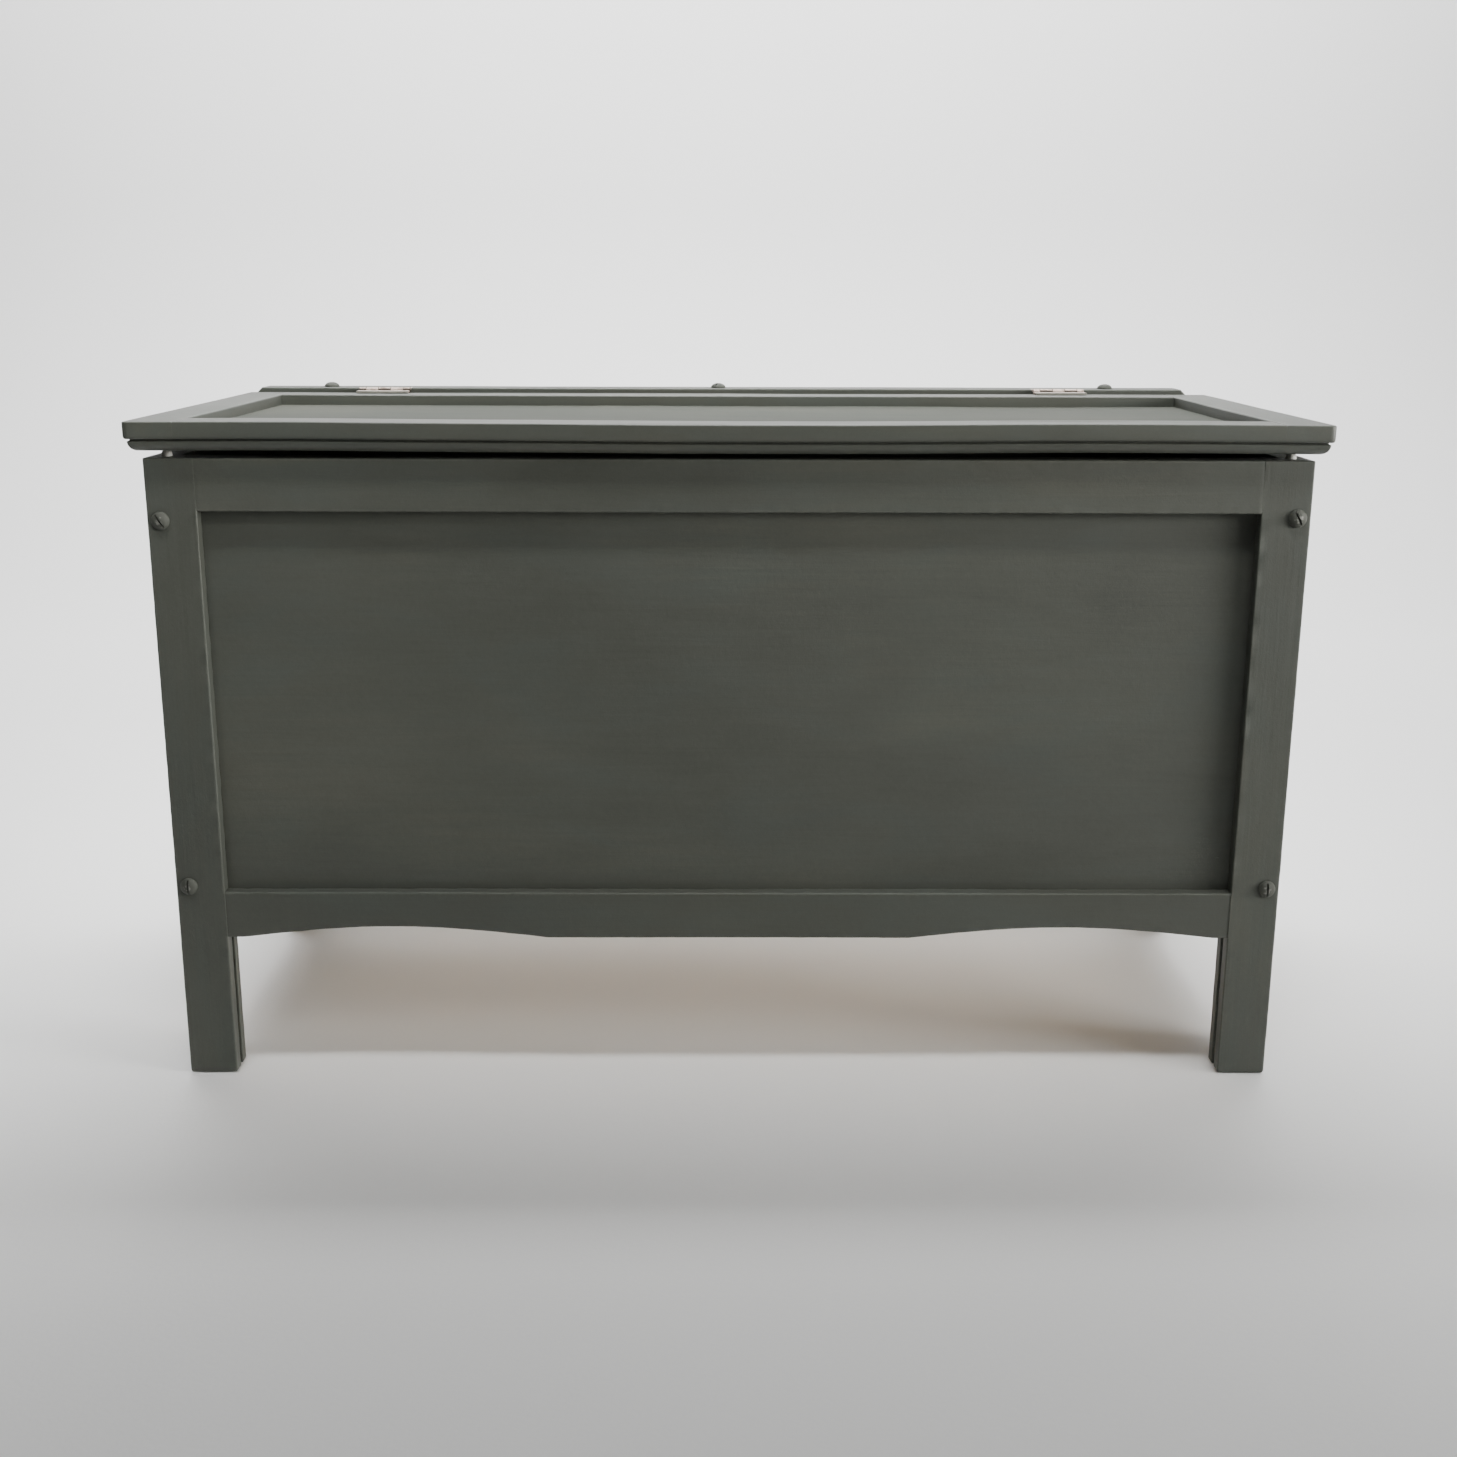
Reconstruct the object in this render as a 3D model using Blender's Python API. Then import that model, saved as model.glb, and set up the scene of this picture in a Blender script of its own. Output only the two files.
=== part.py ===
"""A painted frame-and-panel toy box on four legs, with a lift-up lid.

Four panelled frames are screwed together at the corners. A hinge strip is
screwed to the back frame, and the lid swings on two butt hinges. Their
leaves lie flat on the lid and let into the strip's top, with the knuckles
in the gap between the two. Units are metres, +Z is up and the front of
the box faces -Y. The origin is on the floor, under the middle of the box.
"""
import math

import bmesh
import bpy
from mathutils import Matrix, Vector

# ---- driving sizes, in metres ----
clearance = 0.0003            # gap between pieces that touch

box_width = 0.880             # outside, over the front frame
box_depth = 0.392             # front face to back face
box_height = 0.500            # floor to the top of the frames
member = 0.038                # width of every stile
front_thickness = 0.027       # front and back frame stock
side_thickness = 0.021        # side frame stock
top_rail = 0.040
bottom_rail_low = 0.118
bottom_rail_high = 0.156
arch_rise = 0.009             # shaping under the front and side bottom rails
arch_outer = 0.390            # a front arch's ends, from the middle of the box
arch_inner = 0.145
groove_width = 0.0063
groove_depth = 0.010
front_groove = 0.011          # from the outer face to the groove
side_groove = 0.0075
panel = 0.0057                # plywood panel thickness

lid_width = 0.900
lid_overhang = 0.013          # in front of the front frame
lid_depth = 0.366
lid_bottom = 0.506
lid_top = 0.528
lid_recess = 0.009            # lid top down to its panel
lid_corner = 0.005            # plan radius of the two front corners
lid_step_height = 0.0094      # height of the moulded lower part of the edge
lid_step_inset = 0.0030
lid_foot_inset = 0.0096

strip_gap = 0.0064            # lid back edge to hinge strip
strip_top = 0.532
strip_length = 0.880
strip_shift = -0.006          # the strip and hinges sit a little left of centre
strip_chamfer = 0.005

floor_panel = 0.006
batten_width = 0.012
batten_height = 0.015
batten_low = 0.127

pin_height = 0.530
knuckle_radius = 0.0028
pin_radius = 0.0012
pin_hole_radius = 0.0015
leaf_reach = 0.0165           # pin centre to the leaf's far edge
leaf = 0.0018                 # leaf thickness
knuckle_widths = (0.0066, 0.0116, 0.0116, 0.0116, 0.0066)
hinge_offset = 0.318          # hinge centre from the strip's middle

head_radius = 0.0070          # round-head screws of the corners and the strip
head_height = 0.0042
shank_radius = 0.0031
shank_length = 0.050
slot_width = 0.0013
slot_depth = 0.0012
corner_screw_inset = 0.0102   # from the box's outer side
corner_screw_heights = {"left": (0.1614, 0.4530), "right": (0.1603, 0.4567)}
strip_screw_offsets = (-0.372, -0.0035, 0.366)   # from the strip's middle

small_head_radius = 0.0031    # countersunk hinge screws
small_shank_radius = 0.0014
small_screw_length = 0.014
small_screw_spread = 0.0135   # from the hinge's middle

buffer_radius = 0.0040
buffer_inset = 0.0147

# ---- places that follow from the sizes ----
front_y = -(box_depth + head_height + clearance - lid_overhang) / 2
back_y = front_y + box_depth
pin_y = front_y - lid_overhang + lid_depth + strip_gap / 2
strip_front = pin_y + strip_gap / 2
lid_back = pin_y - strip_gap / 2
lid_front = front_y - lid_overhang
panel_low = lid_top - lid_recess - panel
side_front = front_y + front_thickness + clearance
side_back = back_y - front_thickness - clearance
side_width = side_back - side_front

# ---- finishes: colour, roughness, metallic ----
chalk_paint = ((0.060, 0.064, 0.052), 0.6, 0.0)
panel_paint = ((0.058, 0.062, 0.050), 0.65, 0.0)
bare_wood = ((0.52, 0.38, 0.24), 0.7, 0.0)
plywood = ((0.58, 0.45, 0.30), 0.7, 0.0)
painted_steel = ((0.070, 0.073, 0.060), 0.65, 0.2)
hinge_steel = ((0.50, 0.46, 0.41), 0.4, 1.0)
pale_rubber = ((0.62, 0.61, 0.56), 0.5, 0.0)


def clear_objects():
    for old in list(bpy.data.objects):
        bpy.data.objects.remove(old, do_unlink=True)


def finish_object(name, shape, finish):
    """Turn a bmesh into an object with its own Principled material."""
    bmesh.ops.recalc_face_normals(shape, faces=shape.faces[:])
    mesh = bpy.data.meshes.new(name)
    shape.to_mesh(mesh)
    shape.free()
    piece = bpy.data.objects.new(name, mesh)
    bpy.context.collection.objects.link(piece)
    colour, roughness, metallic = finish
    material = bpy.data.materials.new(name + "_finish")
    material.use_nodes = True
    shader = material.node_tree.nodes["Principled BSDF"]
    shader.inputs["Base Color"].default_value = (*colour, 1.0)
    shader.inputs["Roughness"].default_value = roughness
    shader.inputs["Metallic"].default_value = metallic
    mesh.materials.append(material)
    return piece


def prism(name, outline, axis, low, high, finish):
    """Extrude a closed outline along an axis, from low to high.

    The outline holds (y, z) pairs along X, (x, z) along Y, (x, y) along Z.
    """
    place = {
        "X": lambda a, b, c: (c, a, b),
        "Y": lambda a, b, c: (a, c, b),
        "Z": lambda a, b, c: (a, b, c),
    }[axis]
    shape = bmesh.new()
    points = [shape.verts.new(place(a, b, low)) for a, b in outline]
    cap = shape.faces.new(points)
    side = bmesh.ops.extrude_face_region(shape, geom=[cap])
    far = [item for item in side["geom"] if isinstance(item, bmesh.types.BMVert)]
    bmesh.ops.translate(shape, verts=far, vec=Vector(place(0, 0, high - low)))
    return finish_object(name, shape, finish)


def box(name, low, high, finish):
    corners = [(low[0], low[1]), (high[0], low[1]), (high[0], high[1]), (low[0], high[1])]
    return prism(name, corners, "Z", low[2], high[2], finish)


def turned(name, profile, sides, finish):
    """Turn a profile of (radius, depth) pairs about Y. Its ends are on the axis."""
    shape = bmesh.new()
    rings = []
    for radius, depth in profile:
        if radius == 0:
            rings.append([shape.verts.new((0, depth, 0))])
            continue
        ring = []
        for i in range(sides):
            angle = 2 * math.pi * i / sides
            ring.append(shape.verts.new((radius * math.cos(angle), depth, radius * math.sin(angle))))
        rings.append(ring)
    for near, far in zip(rings, rings[1:]):
        for i in range(sides):
            j = (i + 1) % sides
            if len(near) == 1:
                shape.faces.new((near[0], far[j], far[i]))
            elif len(far) == 1:
                shape.faces.new((near[i], near[j], far[0]))
            else:
                shape.faces.new((near[i], near[j], far[j], far[i]))
    piece = finish_object(name, shape, finish)
    piece.data.shade_smooth()
    piece.data.set_sharp_from_angle(angle=math.radians(35))
    return piece


def cut(piece, cutter):
    """Take the cutter away from the piece, and remove the cutter."""
    modifier = piece.modifiers.new("cut", "BOOLEAN")
    modifier.operation = "DIFFERENCE"
    modifier.solver = "EXACT"
    modifier.object = cutter
    bpy.context.view_layer.update()
    graph = bpy.context.evaluated_depsgraph_get()
    shape = bpy.data.meshes.new_from_object(piece.evaluated_get(graph))
    piece.modifiers.clear()
    piece.data = shape
    bpy.data.objects.remove(cutter, do_unlink=True)


def cut_box(piece, low, high):
    """Cut a box, given in the piece's own axes, from the piece."""
    cutter = box("cutter", low, high, bare_wood)
    cutter.matrix_world = piece.matrix_world
    cut(piece, cutter)


def cut_hole(piece, start, direction, radius, length, far_radius=None):
    """Drill a hole from start along a world direction."""
    end_radius = radius if far_radius is None else far_radius
    profile = [(0, 0), (radius, 0), (end_radius, length), (0, length)]
    cutter = turned("cutter", profile, 16, bare_wood)
    turn = Vector((0, 1, 0)).rotation_difference(Vector(direction))
    cutter.matrix_world = Matrix.Translation(start) @ turn.to_matrix().to_4x4()
    cut(piece, cutter)


def place(piece, location, degrees):
    """Set a piece's place and its turn about Z."""
    piece.location = location
    piece.rotation_euler = (0, 0, math.radians(degrees))
    bpy.context.view_layer.update()


def straight_edge(half):
    return [(-half, bottom_rail_low), (half, bottom_rail_low)]


def double_arch_edge(half):
    """Lower edge with an arch on each side of a flat middle."""
    points = []
    steps = 12
    for i in range(steps + 1):
        u = i / steps
        x = arch_outer - (arch_outer - arch_inner) * u
        points.append((x, bottom_rail_low + arch_rise * math.sin(math.pi * u)))
    right = [(half, bottom_rail_low)] + points
    left = [(-x, z) for x, z in right]
    return left + right[::-1]


def single_arch_edge(half):
    """Lower edge with one shallow arch from end to end."""
    inner = half - member
    steps = 14
    points = [(-half, bottom_rail_low)]
    for i in range(steps + 1):
        u = i / steps
        rise = arch_rise * math.sin(math.pi * u)
        points.append((-inner + 2 * inner * u, bottom_rail_low + rise))
    return points + [(half, bottom_rail_low)]


def rail(name, lower_edge, top, thickness, groove, groove_on_top, half_opening):
    """A rail with a grooved edge and a stub tongue at each end."""
    tongue = groove_depth - 2 * clearance
    half = half_opening + tongue
    bottom = min(z for _, z in lower_edge)
    outline = lower_edge + [(half, top), (-half, top)]
    piece = prism(name, outline, "Y", 0, thickness, chalk_paint)
    far = 1.0
    if groove_on_top:
        slot = (top - groove_depth, top + far)
    else:
        slot = (bottom - far, bottom + groove_depth)
    cut_box(piece, (-far, groove, slot[0]), (far, groove + groove_width, slot[1]))
    shoulder = half_opening - clearance
    for side in (-1, 1):
        near_x = side * shoulder
        far_x = side * far
        low_x, high_x = min(near_x, far_x), max(near_x, far_x)
        cut_box(piece, (low_x, -far, -far), (high_x, groove + clearance, far))
        cut_box(piece, (low_x, groove + groove_width - clearance, -far), (high_x, far, far))
    return piece


def panelled_frame(names, width, thickness, groove, edge, location, degrees):
    """Two stiles, two rails and a panel, with the outer face towards local -Y."""
    left_name, right_name, top_name, bottom_name, panel_name = names
    half = width / 2
    opening = half - member
    for name, side in ((left_name, -1), (right_name, 1)):
        inner, outer = sorted((side * opening, side * half))
        stile = box(name, (inner, 0, 0), (outer, thickness, box_height), chalk_paint)
        bed, mouth = sorted((side * (opening + groove_depth), side * (opening - groove_depth)))
        cut_box(stile, (bed, groove, -groove_depth), (mouth, groove + groove_width, box_height + groove_depth))
        place(stile, location, degrees)
    tongue_end = opening + groove_depth - 2 * clearance
    upper = straight_edge(tongue_end)
    rail_bottom = box_height - top_rail
    upper = [(x, rail_bottom) for x, _ in upper]
    top = rail(top_name, upper, box_height, thickness, groove, False, opening)
    bottom = rail(bottom_name, edge(tongue_end), bottom_rail_high, thickness, groove, True, opening)
    reach = groove_depth - 2 * clearance
    inset = groove + (groove_width - panel) / 2
    sheet = box(
        panel_name,
        (-opening - reach, inset, bottom_rail_high - reach),
        (opening + reach, inset + panel, rail_bottom + reach),
        panel_paint,
    )
    for piece in (top, bottom, sheet):
        place(piece, location, degrees)


def build_frames():
    panelled_frame(
        ("front_left_stile", "front_right_stile", "front_top_rail", "front_bottom_rail", "front_panel"),
        box_width, front_thickness, front_groove, double_arch_edge, (0, front_y, 0), 0,
    )
    panelled_frame(
        ("back_right_stile", "back_left_stile", "back_top_rail", "back_bottom_rail", "back_panel"),
        box_width, front_thickness, front_groove, straight_edge, (0, back_y, 0), 180,
    )
    middle = (side_front + side_back) / 2
    panelled_frame(
        ("left_back_stile", "left_front_stile", "left_top_rail", "left_bottom_rail", "left_panel"),
        side_width, side_thickness, side_groove, single_arch_edge, (-box_width / 2, middle, 0), -90,
    )
    panelled_frame(
        ("right_front_stile", "right_back_stile", "right_top_rail", "right_bottom_rail", "right_panel"),
        side_width, side_thickness, side_groove, single_arch_edge, (box_width / 2, middle, 0), 90,
    )


def build_floor():
    """Four battens inside the bottom rails, and the plywood floor on them."""
    inside_x = box_width / 2 - side_thickness - clearance
    front = front_y + front_thickness + clearance
    back = back_y - front_thickness - clearance
    top = batten_low + batten_height
    for name, low, high in (("floor_batten_front", front, front + batten_width),
                            ("floor_batten_back", back - batten_width, back)):
        box(name, (-inside_x, low, batten_low), (inside_x, high, top), bare_wood)
    for name, side in (("floor_batten_left", -1), ("floor_batten_right", 1)):
        low, high = sorted((side * inside_x, side * (inside_x - batten_width)))
        box(
            name,
            (low, front + batten_width + clearance, batten_low),
            (high, back - batten_width - clearance, top),
            bare_wood,
        )
    box(
        "floor_panel",
        (-inside_x, front, top + clearance),
        (inside_x, back, top + clearance + floor_panel),
        plywood,
    )


def round_head_screw(name, location, direction, slot_degrees):
    """A slotted round-head wood screw. The direction points into the wood."""
    steps = 5
    profile = []
    for i in range(steps + 1):
        angle = math.pi / 2 * (1 - i / steps)
        radius = head_radius * math.cos(angle) if i else 0
        profile.append((radius, -head_height * math.sin(angle)))
    profile[-1] = (head_radius, 0)
    profile += [
        (shank_radius, 0),
        (shank_radius, shank_length - 0.008),
        (0.0008, shank_length),
        (0, shank_length),
    ]
    screw = turned(name, profile, 16, painted_steel)
    low = (-head_radius * 2, -head_height * 2, -slot_width / 2)
    high = (head_radius * 2, -head_height + slot_depth, slot_width / 2)
    cut_box(screw, low, high)
    screw.data.set_sharp_from_angle(angle=math.radians(35))
    turn = Vector((0, 1, 0)).rotation_difference(Vector(direction)).to_matrix().to_4x4()
    roll = Matrix.Rotation(math.radians(slot_degrees), 4, "Y")
    screw.matrix_world = Matrix.Translation(location) @ turn @ roll


def build_corner_screws():
    """Two screws at each corner, through the front or back stile into the side stile."""
    inset = box_width / 2 - corner_screw_inset
    slots = {
        "front_left_low": 90, "front_left_high": 58, "front_right_low": 90, "front_right_high": 62,
        "back_left_low": 20, "back_left_high": 75, "back_right_low": -40, "back_right_high": 10,
    }
    for face, y, into in (("front", front_y, 1), ("back", back_y, -1)):
        for hand, side in (("left", -1), ("right", 1)):
            outer = bpy.data.objects[face + "_" + hand + "_stile"]
            inner = bpy.data.objects[hand + "_" + face + "_stile"]
            for level, z in zip(("low", "high"), corner_screw_heights[hand]):
                start = Vector((side * inset, y - into * clearance, z))
                direction = (0, into, 0)
                hole_start = start - Vector(direction) * 0.01
                for stile in (outer, inner):
                    cut_hole(stile, hole_start, direction, shank_radius + 0.0004, shank_length + 0.011)
                key = face + "_" + hand + "_" + level
                round_head_screw("corner_screw_" + key, start, direction, slots[key])


def build_hinge_strip():
    """The fixed strip behind the lid, on the back frame's top."""
    half = strip_length / 2
    low = box_height + clearance
    outline = [
        (-half, low),
        (half, low),
        (half, strip_top - strip_chamfer),
        (half - strip_chamfer, strip_top),
        (-half + strip_chamfer, strip_top),
        (-half, strip_top - strip_chamfer),
    ]
    outline = [(x + strip_shift, z) for x, z in outline]
    strip = prism("hinge_strip", outline, "Y", strip_front, back_y, chalk_paint)
    rail_below = bpy.data.objects["back_top_rail"]
    middle = (strip_front + back_y) / 2
    for name, offset, slot in zip(("left", "middle", "right"), strip_screw_offsets, (15, 70, -25)):
        start = Vector((strip_shift + offset, middle, strip_top + clearance))
        above = start + Vector((0, 0, 0.01))
        for wood in (strip, rail_below):
            cut_hole(wood, above, (0, 0, -1), shank_radius + 0.0004, shank_length + 0.011)
        round_head_screw("strip_screw_" + name, start, (0, 0, -1), slot)
    return strip


def edge_inset(height):
    """How far the lid's moulded edge is cut back, at a height above its underside."""
    if height < lid_step_height:
        fall = 1 - height / lid_step_height
        return lid_step_inset + (lid_foot_inset - lid_step_inset) * fall ** 1.15
    return 0.0


def edge_profile():
    """(height, inset) pairs up the lid's moulded edge, with a small step part way."""
    steps = 4
    lower = []
    for i in range(steps):
        height = lid_step_height * i / steps
        lower.append((height, edge_inset(height)))
    step = lid_step_height
    upper = [(step, lid_step_inset), (step + 0.0003, 0.0016), (step + 0.0014, 0.0005), (step + 0.0034, 0.0)]
    return lower + upper + [(lid_top - lid_bottom, 0.0)]


def lid_stile_ring(side, inset):
    """Plan outline of a lid stile, with its front and outer edges cut back by inset."""
    outer = lid_width / 2 - inset
    inner = lid_width / 2 - member
    front = lid_front + inset
    radius = max(lid_corner - inset, 0.0008)
    points = [(inner, lid_back), (inner, front)]
    steps = 4
    for i in range(steps + 1):
        angle = math.pi / 2 * i / steps
        x = outer - radius + radius * math.sin(angle)
        y = front + radius - radius * math.cos(angle)
        points.append((x, y))
    points.append((outer, lid_back))
    return [(side * x, y) for x, y in points]


def lid_stile(name, side):
    """A lid stile: rings up the moulded edge, joined and capped, then grooved."""
    shape = bmesh.new()
    rings = []
    for height, inset in edge_profile():
        ring = []
        for x, y in lid_stile_ring(side, inset):
            ring.append(shape.verts.new((x, y, lid_bottom + height)))
        rings.append(ring)
    count = len(rings[0])
    for lower, upper in zip(rings, rings[1:]):
        for i in range(count):
            j = (i + 1) % count
            shape.faces.new((lower[i], lower[j], upper[j], upper[i]))
    shape.faces.new(rings[0])
    shape.faces.new(rings[-1])
    stile = finish_object(name, shape, chalk_paint)
    inner = lid_width / 2 - member
    low, high = sorted((side * (inner - 0.01), side * (inner + groove_depth)))
    front = lid_front + 0.014
    groove_low = panel_low - clearance
    cut_box(stile, (low, front, groove_low), (high, lid_back - 0.012, groove_low + groove_width))
    return stile


def lid_rail(name, y_front, y_back, moulded, groove_at_back):
    """A lid rail between the stiles, grooved on its inner edge, tongued at its ends."""
    tongue = groove_depth - 2 * clearance
    inner = lid_width / 2 - member
    if moulded:
        outline = [(y_front + inset, lid_bottom + height) for height, inset in edge_profile()]
        outline += [(y_back, lid_top), (y_back, lid_bottom)]
    else:
        outline = [(y_front, lid_bottom), (y_front, lid_top), (y_back, lid_top), (y_back, lid_bottom)]
    half = inner + tongue
    piece = prism(name, outline, "X", -half, half, chalk_paint)
    groove_low = panel_low - clearance
    groove_high = groove_low + groove_width
    far = 1.0
    if groove_at_back:
        span = (y_back - groove_depth, y_back + far)
        tongue_span = (lid_front + 0.014 + clearance, y_back - groove_depth - clearance)
    else:
        span = (y_front - far, y_front + groove_depth)
        tongue_span = (y_front + groove_depth + clearance, lid_back - 0.012 - clearance)
    cut_box(piece, (-far, span[0], groove_low), (far, span[1], groove_high))
    shoulder = inner - clearance
    for side in (-1, 1):
        low, high = sorted((side * shoulder, side * far))
        cut_box(piece, (low, -far, -far), (high, far, groove_low + clearance))
        cut_box(piece, (low, -far, groove_high - clearance), (high, far, far))
        cut_box(piece, (low, -far, -far), (high, tongue_span[0], far))
        cut_box(piece, (low, tongue_span[1], -far), (high, far, far))
    return piece


def build_lid():
    """The lid's frame and panel."""
    pieces = [lid_stile("lid_left_stile", -1), lid_stile("lid_right_stile", 1)]
    pieces.append(lid_rail("lid_front_rail", lid_front, lid_front + member, True, True))
    pieces.append(lid_rail("lid_back_rail", lid_back - member, lid_back, False, False))
    reach = groove_depth - 2 * clearance
    inner = lid_width / 2 - member
    pieces.append(box(
        "lid_panel",
        (-inner - reach, lid_front + member - reach, panel_low),
        (inner + reach, lid_back - member + reach, panel_low + panel),
        panel_paint,
    ))
    return pieces


def leaf_outline(side, low, high):
    """Section of a hinge leaf with its knuckle, side -1 for the lid and 1 for the strip."""
    start = math.asin(low / knuckle_radius)
    end = math.asin(high / knuckle_radius)
    steps = 14
    turn = 2 * math.pi - (end - start)
    points = [(leaf_reach, high)]
    for i in range(steps + 1):
        angle = end + turn * i / steps
        points.append((knuckle_radius * math.cos(angle), knuckle_radius * math.sin(angle)))
    points.append((leaf_reach, low))
    return [(pin_y + side * y, pin_height + z) for y, z in points]


def knuckle_spans(centre):
    """The five knuckles' (low, high) places along X."""
    edge = centre - sum(knuckle_widths) / 2
    spans = []
    for width in knuckle_widths:
        spans.append((edge, edge + width))
        edge += width
    return spans


def hinge_leaf(name, centre, side, low, first_own, wood):
    """One leaf: its plate, every second knuckle, the pin hole and two screw holes."""
    half = sum(knuckle_widths) / 2
    plate = prism(name, leaf_outline(side, low, low + leaf), "X", centre - half, centre + half, hinge_steel)
    gap = clearance / 2
    for i, (start, end) in enumerate(knuckle_spans(centre)):
        if (i % 2 == 0) == first_own:
            continue
        if i == 0:
            start -= 0.01
        if i == len(knuckle_widths) - 1:
            end += 0.01
        near, far = sorted((-side * 0.006, side * (knuckle_radius + 0.0005)))
        cut_box(
            plate,
            (start - gap, pin_y + near, pin_height - 0.006),
            (end + gap, pin_y + far, pin_height + 0.006),
        )
    bore_start = Vector((centre - half - 0.01, pin_y, pin_height))
    cut_hole(plate, bore_start, (1, 0, 0), pin_hole_radius, 2 * half + 0.02)
    screws = []
    for place_name, offset in (("left", -small_screw_spread), ("right", small_screw_spread)):
        top = Vector((centre + offset, pin_y + side * 0.0105, pin_height + low + leaf))
        lip = 0.0002
        above = top + Vector((0, 0, lip))
        slope = (small_head_radius - small_shank_radius) / leaf
        wide = small_head_radius + clearance + slope * lip
        narrow = small_shank_radius + clearance
        cut_hole(plate, above, (0, 0, -1), wide, leaf + 2 * lip, narrow - slope * lip)
        cut_hole(plate, above, (0, 0, -1), narrow, 0.004)
        cut_hole(wood, above, (0, 0, -1), small_shank_radius + clearance, small_screw_length + 0.001)
        profile = [
            (0, 0),
            (small_head_radius, 0),
            (small_shank_radius, leaf),
            (small_shank_radius, small_screw_length - 0.003),
            (0.0004, small_screw_length),
            (0, small_screw_length),
        ]
        screw = turned(name + "_screw_" + place_name, profile, 12, hinge_steel)
        turn = Vector((0, 1, 0)).rotation_difference(Vector((0, 0, -1)))
        screw.matrix_world = Matrix.Translation(top) @ turn.to_matrix().to_4x4()
        screws.append(screw)
    return [plate] + screws


def build_hinges(strip, lid_pieces):
    """Two five-knuckle butt hinges. The right one is fitted the other way round."""
    lid_rail_piece = [piece for piece in lid_pieces if piece.name == "lid_back_rail"][0]
    half = sum(knuckle_widths) / 2
    moving = []
    for hand, side, strip_first in (("left", -1, True), ("right", 1, False)):
        centre = strip_shift + side * hinge_offset
        strip_leaf_low = strip_top - leaf - pin_height
        lid_leaf_low = lid_top + clearance - pin_height
        cut_box(
            strip,
            (centre - half - clearance, strip_front - 0.01, strip_top - leaf - clearance),
            (centre + half + clearance, pin_y + leaf_reach + clearance, strip_top + 0.01),
        )
        hinge_leaf(hand + "_hinge_strip_leaf", centre, 1, strip_leaf_low, strip_first, strip)
        moving += hinge_leaf(
            hand + "_hinge_lid_leaf", centre, -1, lid_leaf_low, not strip_first, lid_rail_piece
        )
        profile = [(0, 0), (pin_radius, 0), (pin_radius, 2 * half), (0, 2 * half)]
        pin = turned(hand + "_hinge_pin", profile, 12, hinge_steel)
        turn = Vector((0, 1, 0)).rotation_difference(Vector((1, 0, 0)))
        start = (centre - half, pin_y, pin_height)
        pin.matrix_world = Matrix.Translation(start) @ turn.to_matrix().to_4x4()
    return moving


def build_buffers():
    """A small rubber dome on each front stile, just under the closed lid."""
    height = lid_bottom - box_height - 2 * clearance
    profile = [
        (0, 0),
        (buffer_radius, 0),
        (buffer_radius, height * 0.45),
        (buffer_radius * 0.85, height * 0.75),
        (buffer_radius * 0.5, height),
        (0, height),
    ]
    for name, side in (("left", -1), ("right", 1)):
        pad = turned("lid_buffer_" + name, profile, 16, pale_rubber)
        turn = Vector((0, 1, 0)).rotation_difference(Vector((0, 0, 1)))
        x = side * (box_width / 2 - buffer_inset)
        y = front_y + front_thickness / 2
        pad.matrix_world = Matrix.Translation((x, y, box_height + clearance)) @ turn.to_matrix().to_4x4()


def hang_on_axis(pieces):
    """Parent the moving pieces to an empty on the hinge pins' axis."""
    axis = bpy.data.objects.new("lid_axis", None)
    bpy.context.collection.objects.link(axis)
    axis.location = (strip_shift, pin_y, pin_height)
    bpy.context.view_layer.update()
    for piece in pieces:
        piece.parent = axis
        piece.matrix_parent_inverse = axis.matrix_world.inverted()


def main():
    clear_objects()
    build_frames()
    build_floor()
    build_corner_screws()
    strip = build_hinge_strip()
    lid_pieces = build_lid()
    lid_pieces += build_hinges(strip, lid_pieces)
    build_buffers()
    hang_on_axis(lid_pieces)


main()
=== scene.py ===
import math

import bpy
import numpy as np
from mathutils import Matrix, Vector


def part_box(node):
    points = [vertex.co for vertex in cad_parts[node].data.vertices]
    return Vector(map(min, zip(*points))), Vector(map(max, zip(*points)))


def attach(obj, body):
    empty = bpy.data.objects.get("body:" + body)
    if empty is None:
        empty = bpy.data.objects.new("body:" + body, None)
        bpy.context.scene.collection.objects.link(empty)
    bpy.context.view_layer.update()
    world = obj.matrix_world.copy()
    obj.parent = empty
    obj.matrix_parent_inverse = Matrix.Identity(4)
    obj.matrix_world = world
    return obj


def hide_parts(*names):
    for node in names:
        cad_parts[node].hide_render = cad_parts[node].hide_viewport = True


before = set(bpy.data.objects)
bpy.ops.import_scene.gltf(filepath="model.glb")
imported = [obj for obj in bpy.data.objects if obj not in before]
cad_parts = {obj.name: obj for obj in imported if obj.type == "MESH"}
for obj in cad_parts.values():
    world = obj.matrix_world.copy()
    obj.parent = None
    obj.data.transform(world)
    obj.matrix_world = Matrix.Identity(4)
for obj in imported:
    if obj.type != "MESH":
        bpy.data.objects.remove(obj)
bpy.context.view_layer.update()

print("frame loaded:", len(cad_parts), "nodes")

# The camera looks down at the front from a little left of the middle.
cameraSet = {
    "lens": 42.62,            # millimetres, as is the sensor's width
    "sensor": 36.0,
    "fromFront": 1.3022,      # metres in front of the box's face
    "panelSetBack": 0.0113,   # how far the front panel lies behind that face
    "side": -0.0067,
    "height": 0.6250,
    "turn": 0.0048,           # radians towards the right
    "tilt": 0.2504,           # radians down
    "roll": 0.0031,
    "farthest": 60.0,
}


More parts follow.
